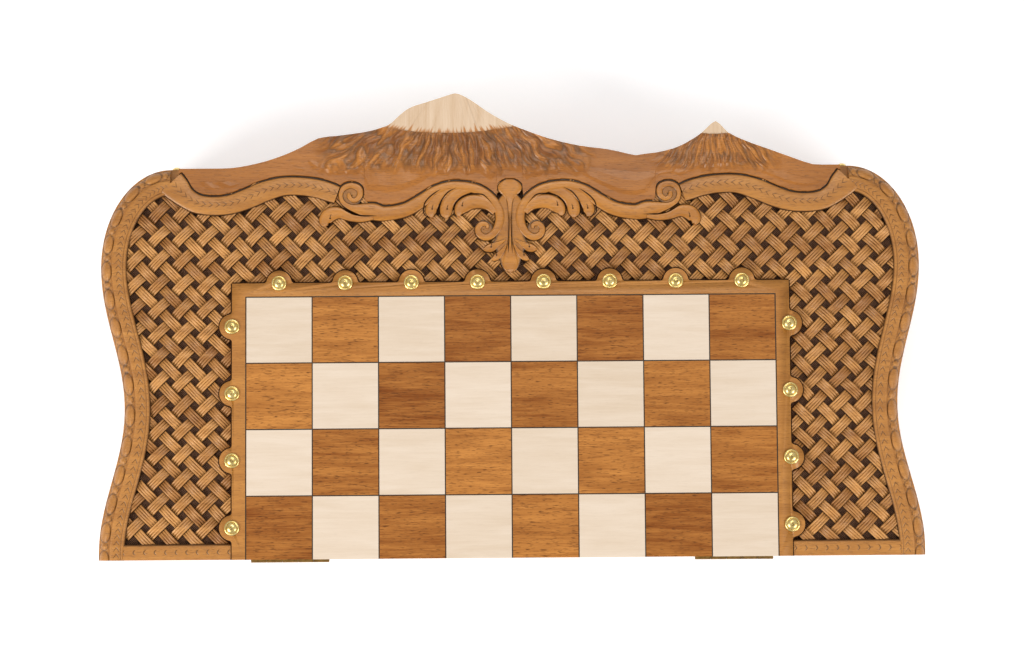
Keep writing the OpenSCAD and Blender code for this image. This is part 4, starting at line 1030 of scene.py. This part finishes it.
def brass_finish(name, dark, light, low_rough, high_rough):
    material, tree, shader = new_material(name)
    position = add(tree, "TexCoord").outputs["Object"]
    cloud = add(tree, "TexNoise", {"Vector": position, "Scale": 260.0, "Detail": 4.0}).outputs["Fac"]
    turned = add(tree, "Mapping", {"Vector": position, "Scale": (9, 1.2, 1)}).outputs[0]
    scratch = add(tree, "TexNoise", {"Vector": turned, "Scale": 900.0, "Detail": 2.0}).outputs["Fac"]
    tree.links.new(blend(tree, remap(tree, cloud, 0.35, 0.7), dark, light), shader.inputs["Base Color"])
    tree.links.new(remap(tree, scratch, 0.3, 0.7, low_rough, high_rough), shader.inputs["Roughness"])
    shader.inputs["Metallic"].default_value = 1.0
    bumped = add(tree, "Bump", {"Height": scratch, "Strength": 0.05, "Distance": 0.0002})
    tree.links.new(bumped.outputs[0], shader.inputs["Normal"])
    return material


brass = brass_finish("polished brass", srgb(214, 184, 110), srgb(240, 216, 148), 0.2, 0.36)
old_brass = brass_finish("aged brass", srgb(112, 84, 44), srgb(150, 116, 62), 0.35, 0.55)
print(brass.name, "and", old_brass.name)

# %% [markdown]
# ## The studs
#
# Each stud is a small turned button: a rim, a groove and a dome. A letter or a number is struck into the
# dome, as on the edge of a chessboard, and the strike is dark with old polish. The button is a profile
# turned about its middle, and the sign is a flat letter laid on the dome.

# %% Sixteen studs
STUD_R, SPACING, SIDE_STEP, SIDE_START = 5.8, 50.0, 50.5, 23.75
stud_x = [(i - 3.5) * SPACING for i in range(8)]
stud_places = [(x, frame_d, "ABCDEFGH"[i]) for i, x in enumerate(stud_x)]
# The stud from its rim to the top of its dome: distance from the middle and height over the frame
stud_profile = [(STUD_R, 0.0), (STUD_R, 0.6), (5.6, 1.0), (5.1, 1.3), (4.6, 1.3), (4.35, 1.05), (4.1, 1.3),
                (3.6, 1.9), (2.9, 2.4), (2.0, 2.72), (1.0, 2.88), (0.02, 2.92)]


def button(x, y):
    turns = np.linspace(0, 2 * math.pi, 37)
    return np.array([[(x + r * math.cos(a), y + r * math.sin(a), half_h + h) for r, h in stud_profile]
                     for a in turns])


def sign(text, x, y, half):
    """A flat letter on the dome, as a mesh in the frame."""
    curve = bpy.data.curves.new("sign", "FONT")
    curve.body = text
    curve.size = 4.4 * MM
    curve.align_x = "CENTER"
    curve.align_y = "CENTER"
    curve.extrude = 0.25 * MM
    holder = bpy.data.objects.new("sign", curve)
    bpy.context.scene.collection.objects.link(holder)
    bpy.context.view_layer.update()
    mesh = bpy.data.meshes.new_from_object(holder.evaluated_get(bpy.context.evaluated_depsgraph_get()))
    bpy.data.objects.remove(holder)
    place = to_frame([(x, y, half_h + 2.75)], half)[0]
    for v in mesh.vertices:
        v.co = Vector(place) + Vector((v.co.x, UP[half] * v.co.y, UP[half] * v.co.z))
    return mesh


for half, first in (("lid", 5), ("base", 1)):
    sides = [(side * frame_half_w, SIDE_START + i * SIDE_STEP, str(first + i))
             for side in (-1, 1) for i in range(4)]
    places = stud_places + sides
    buttons = carve(f"{half}_buttons", half, [(button(x, y), {"burn": np.zeros(1)}) for x, y, _ in places],
                    brass, crease=math.radians(60))
    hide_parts(f"{half}_studs")
    work = bmesh.new()
    for x, y, text in places:
        mesh = sign(text, x, y, half)
        work.from_mesh(mesh)
        bpy.data.meshes.remove(mesh)
    mesh = bpy.data.meshes.new(f"{half}_signs")
    work.to_mesh(mesh)
    work.free()
    set_piece(f"{half}_signs", mesh, old_brass, half)

# %% Finishes of the remaining solids
special = {"dark_squares": walnut_square, "light_squares": maple_square, "stringing": ebony,
           "dark_points": ebony, "light_points": maple_square, "ridge": walnut_ridge, "snow_caps": maple_snow}
for name, node in nodes.items():
    if node.hide_render:
        continue
    chosen = next((material for key, material in special.items() if name.endswith(key)), None)
    if chosen is None:
        chosen = old_brass if name.startswith("hinge") else brass if name.startswith("hook") else walnut
    node.data.materials.clear()
    node.data.materials.append(chosen)
print(sum(not node.hide_render for node in nodes.values()), "solids shown as they are")

# %% [markdown]
# ## The picture
#
# The box lies closed on a white table under three big soft lamps. The camera hangs almost straight above
# it, as in the photograph.

# %% Table, lamps and camera
FLOOR = 30
floor_mesh = bpy.data.meshes.new("floor")
corners = [(-FLOOR, -FLOOR, 0), (FLOOR, -FLOOR, 0), (FLOOR, FLOOR, 0), (-FLOOR, FLOOR, 0)]
floor_mesh.from_pydata(corners, [], [(0, 1, 2, 3)])
floor = bpy.data.objects.new("floor", floor_mesh)
bpy.context.scene.collection.objects.link(floor)
paper, tree, shader = new_material("white paper")
shader.inputs["Base Color"].default_value = (0.9, 0.9, 0.91, 1)
shader.inputs["Roughness"].default_value = 0.7
shader.inputs["Emission Color"].default_value = (1, 1, 1, 1)
shader.inputs["Emission Strength"].default_value = 0.27
floor_mesh.materials.append(paper)

world = bpy.data.worlds.new("studio")
world.use_nodes = True
world.node_tree.nodes["Background"].inputs["Color"].default_value = (1, 1, 1, 1)
world.node_tree.nodes["Background"].inputs["Strength"].default_value = 0.56
bpy.context.scene.world = world


def lamp(name, place, size, power):
    light = bpy.data.lights.new(name, "AREA")
    light.size = size
    light.energy = power
    made = bpy.data.objects.new(name, light)
    made.location = place
    made.rotation_euler = (-Vector(place)).to_track_quat("-Z", "Y").to_euler()
    bpy.context.scene.collection.objects.link(made)


lamp("softbox_left", (-1.3, -0.9, 1.1), 0.8, 23)
lamp("softbox_right", (1.3, -0.9, 1.1), 0.8, 16)
lamp("top_light", (0.0, 0.9, 1.9), 1.0, 10.5)

camera_data = bpy.data.cameras.new("camera")
camera_data.sensor_width = 36
camera_data.lens = 84.04
camera_data.clip_start = 0.01
camera = bpy.data.objects.new("camera", camera_data)
camera.location = (-0.0089, -0.1340, 1.8833)
camera.rotation_euler = (math.radians(4.32), math.radians(-0.28), math.radians(-0.42))
bpy.context.scene.collection.objects.link(camera)
bpy.context.scene.camera = camera
bpy.context.scene.view_settings.view_transform = "Standard"
print("camera at", tuple(camera.location))
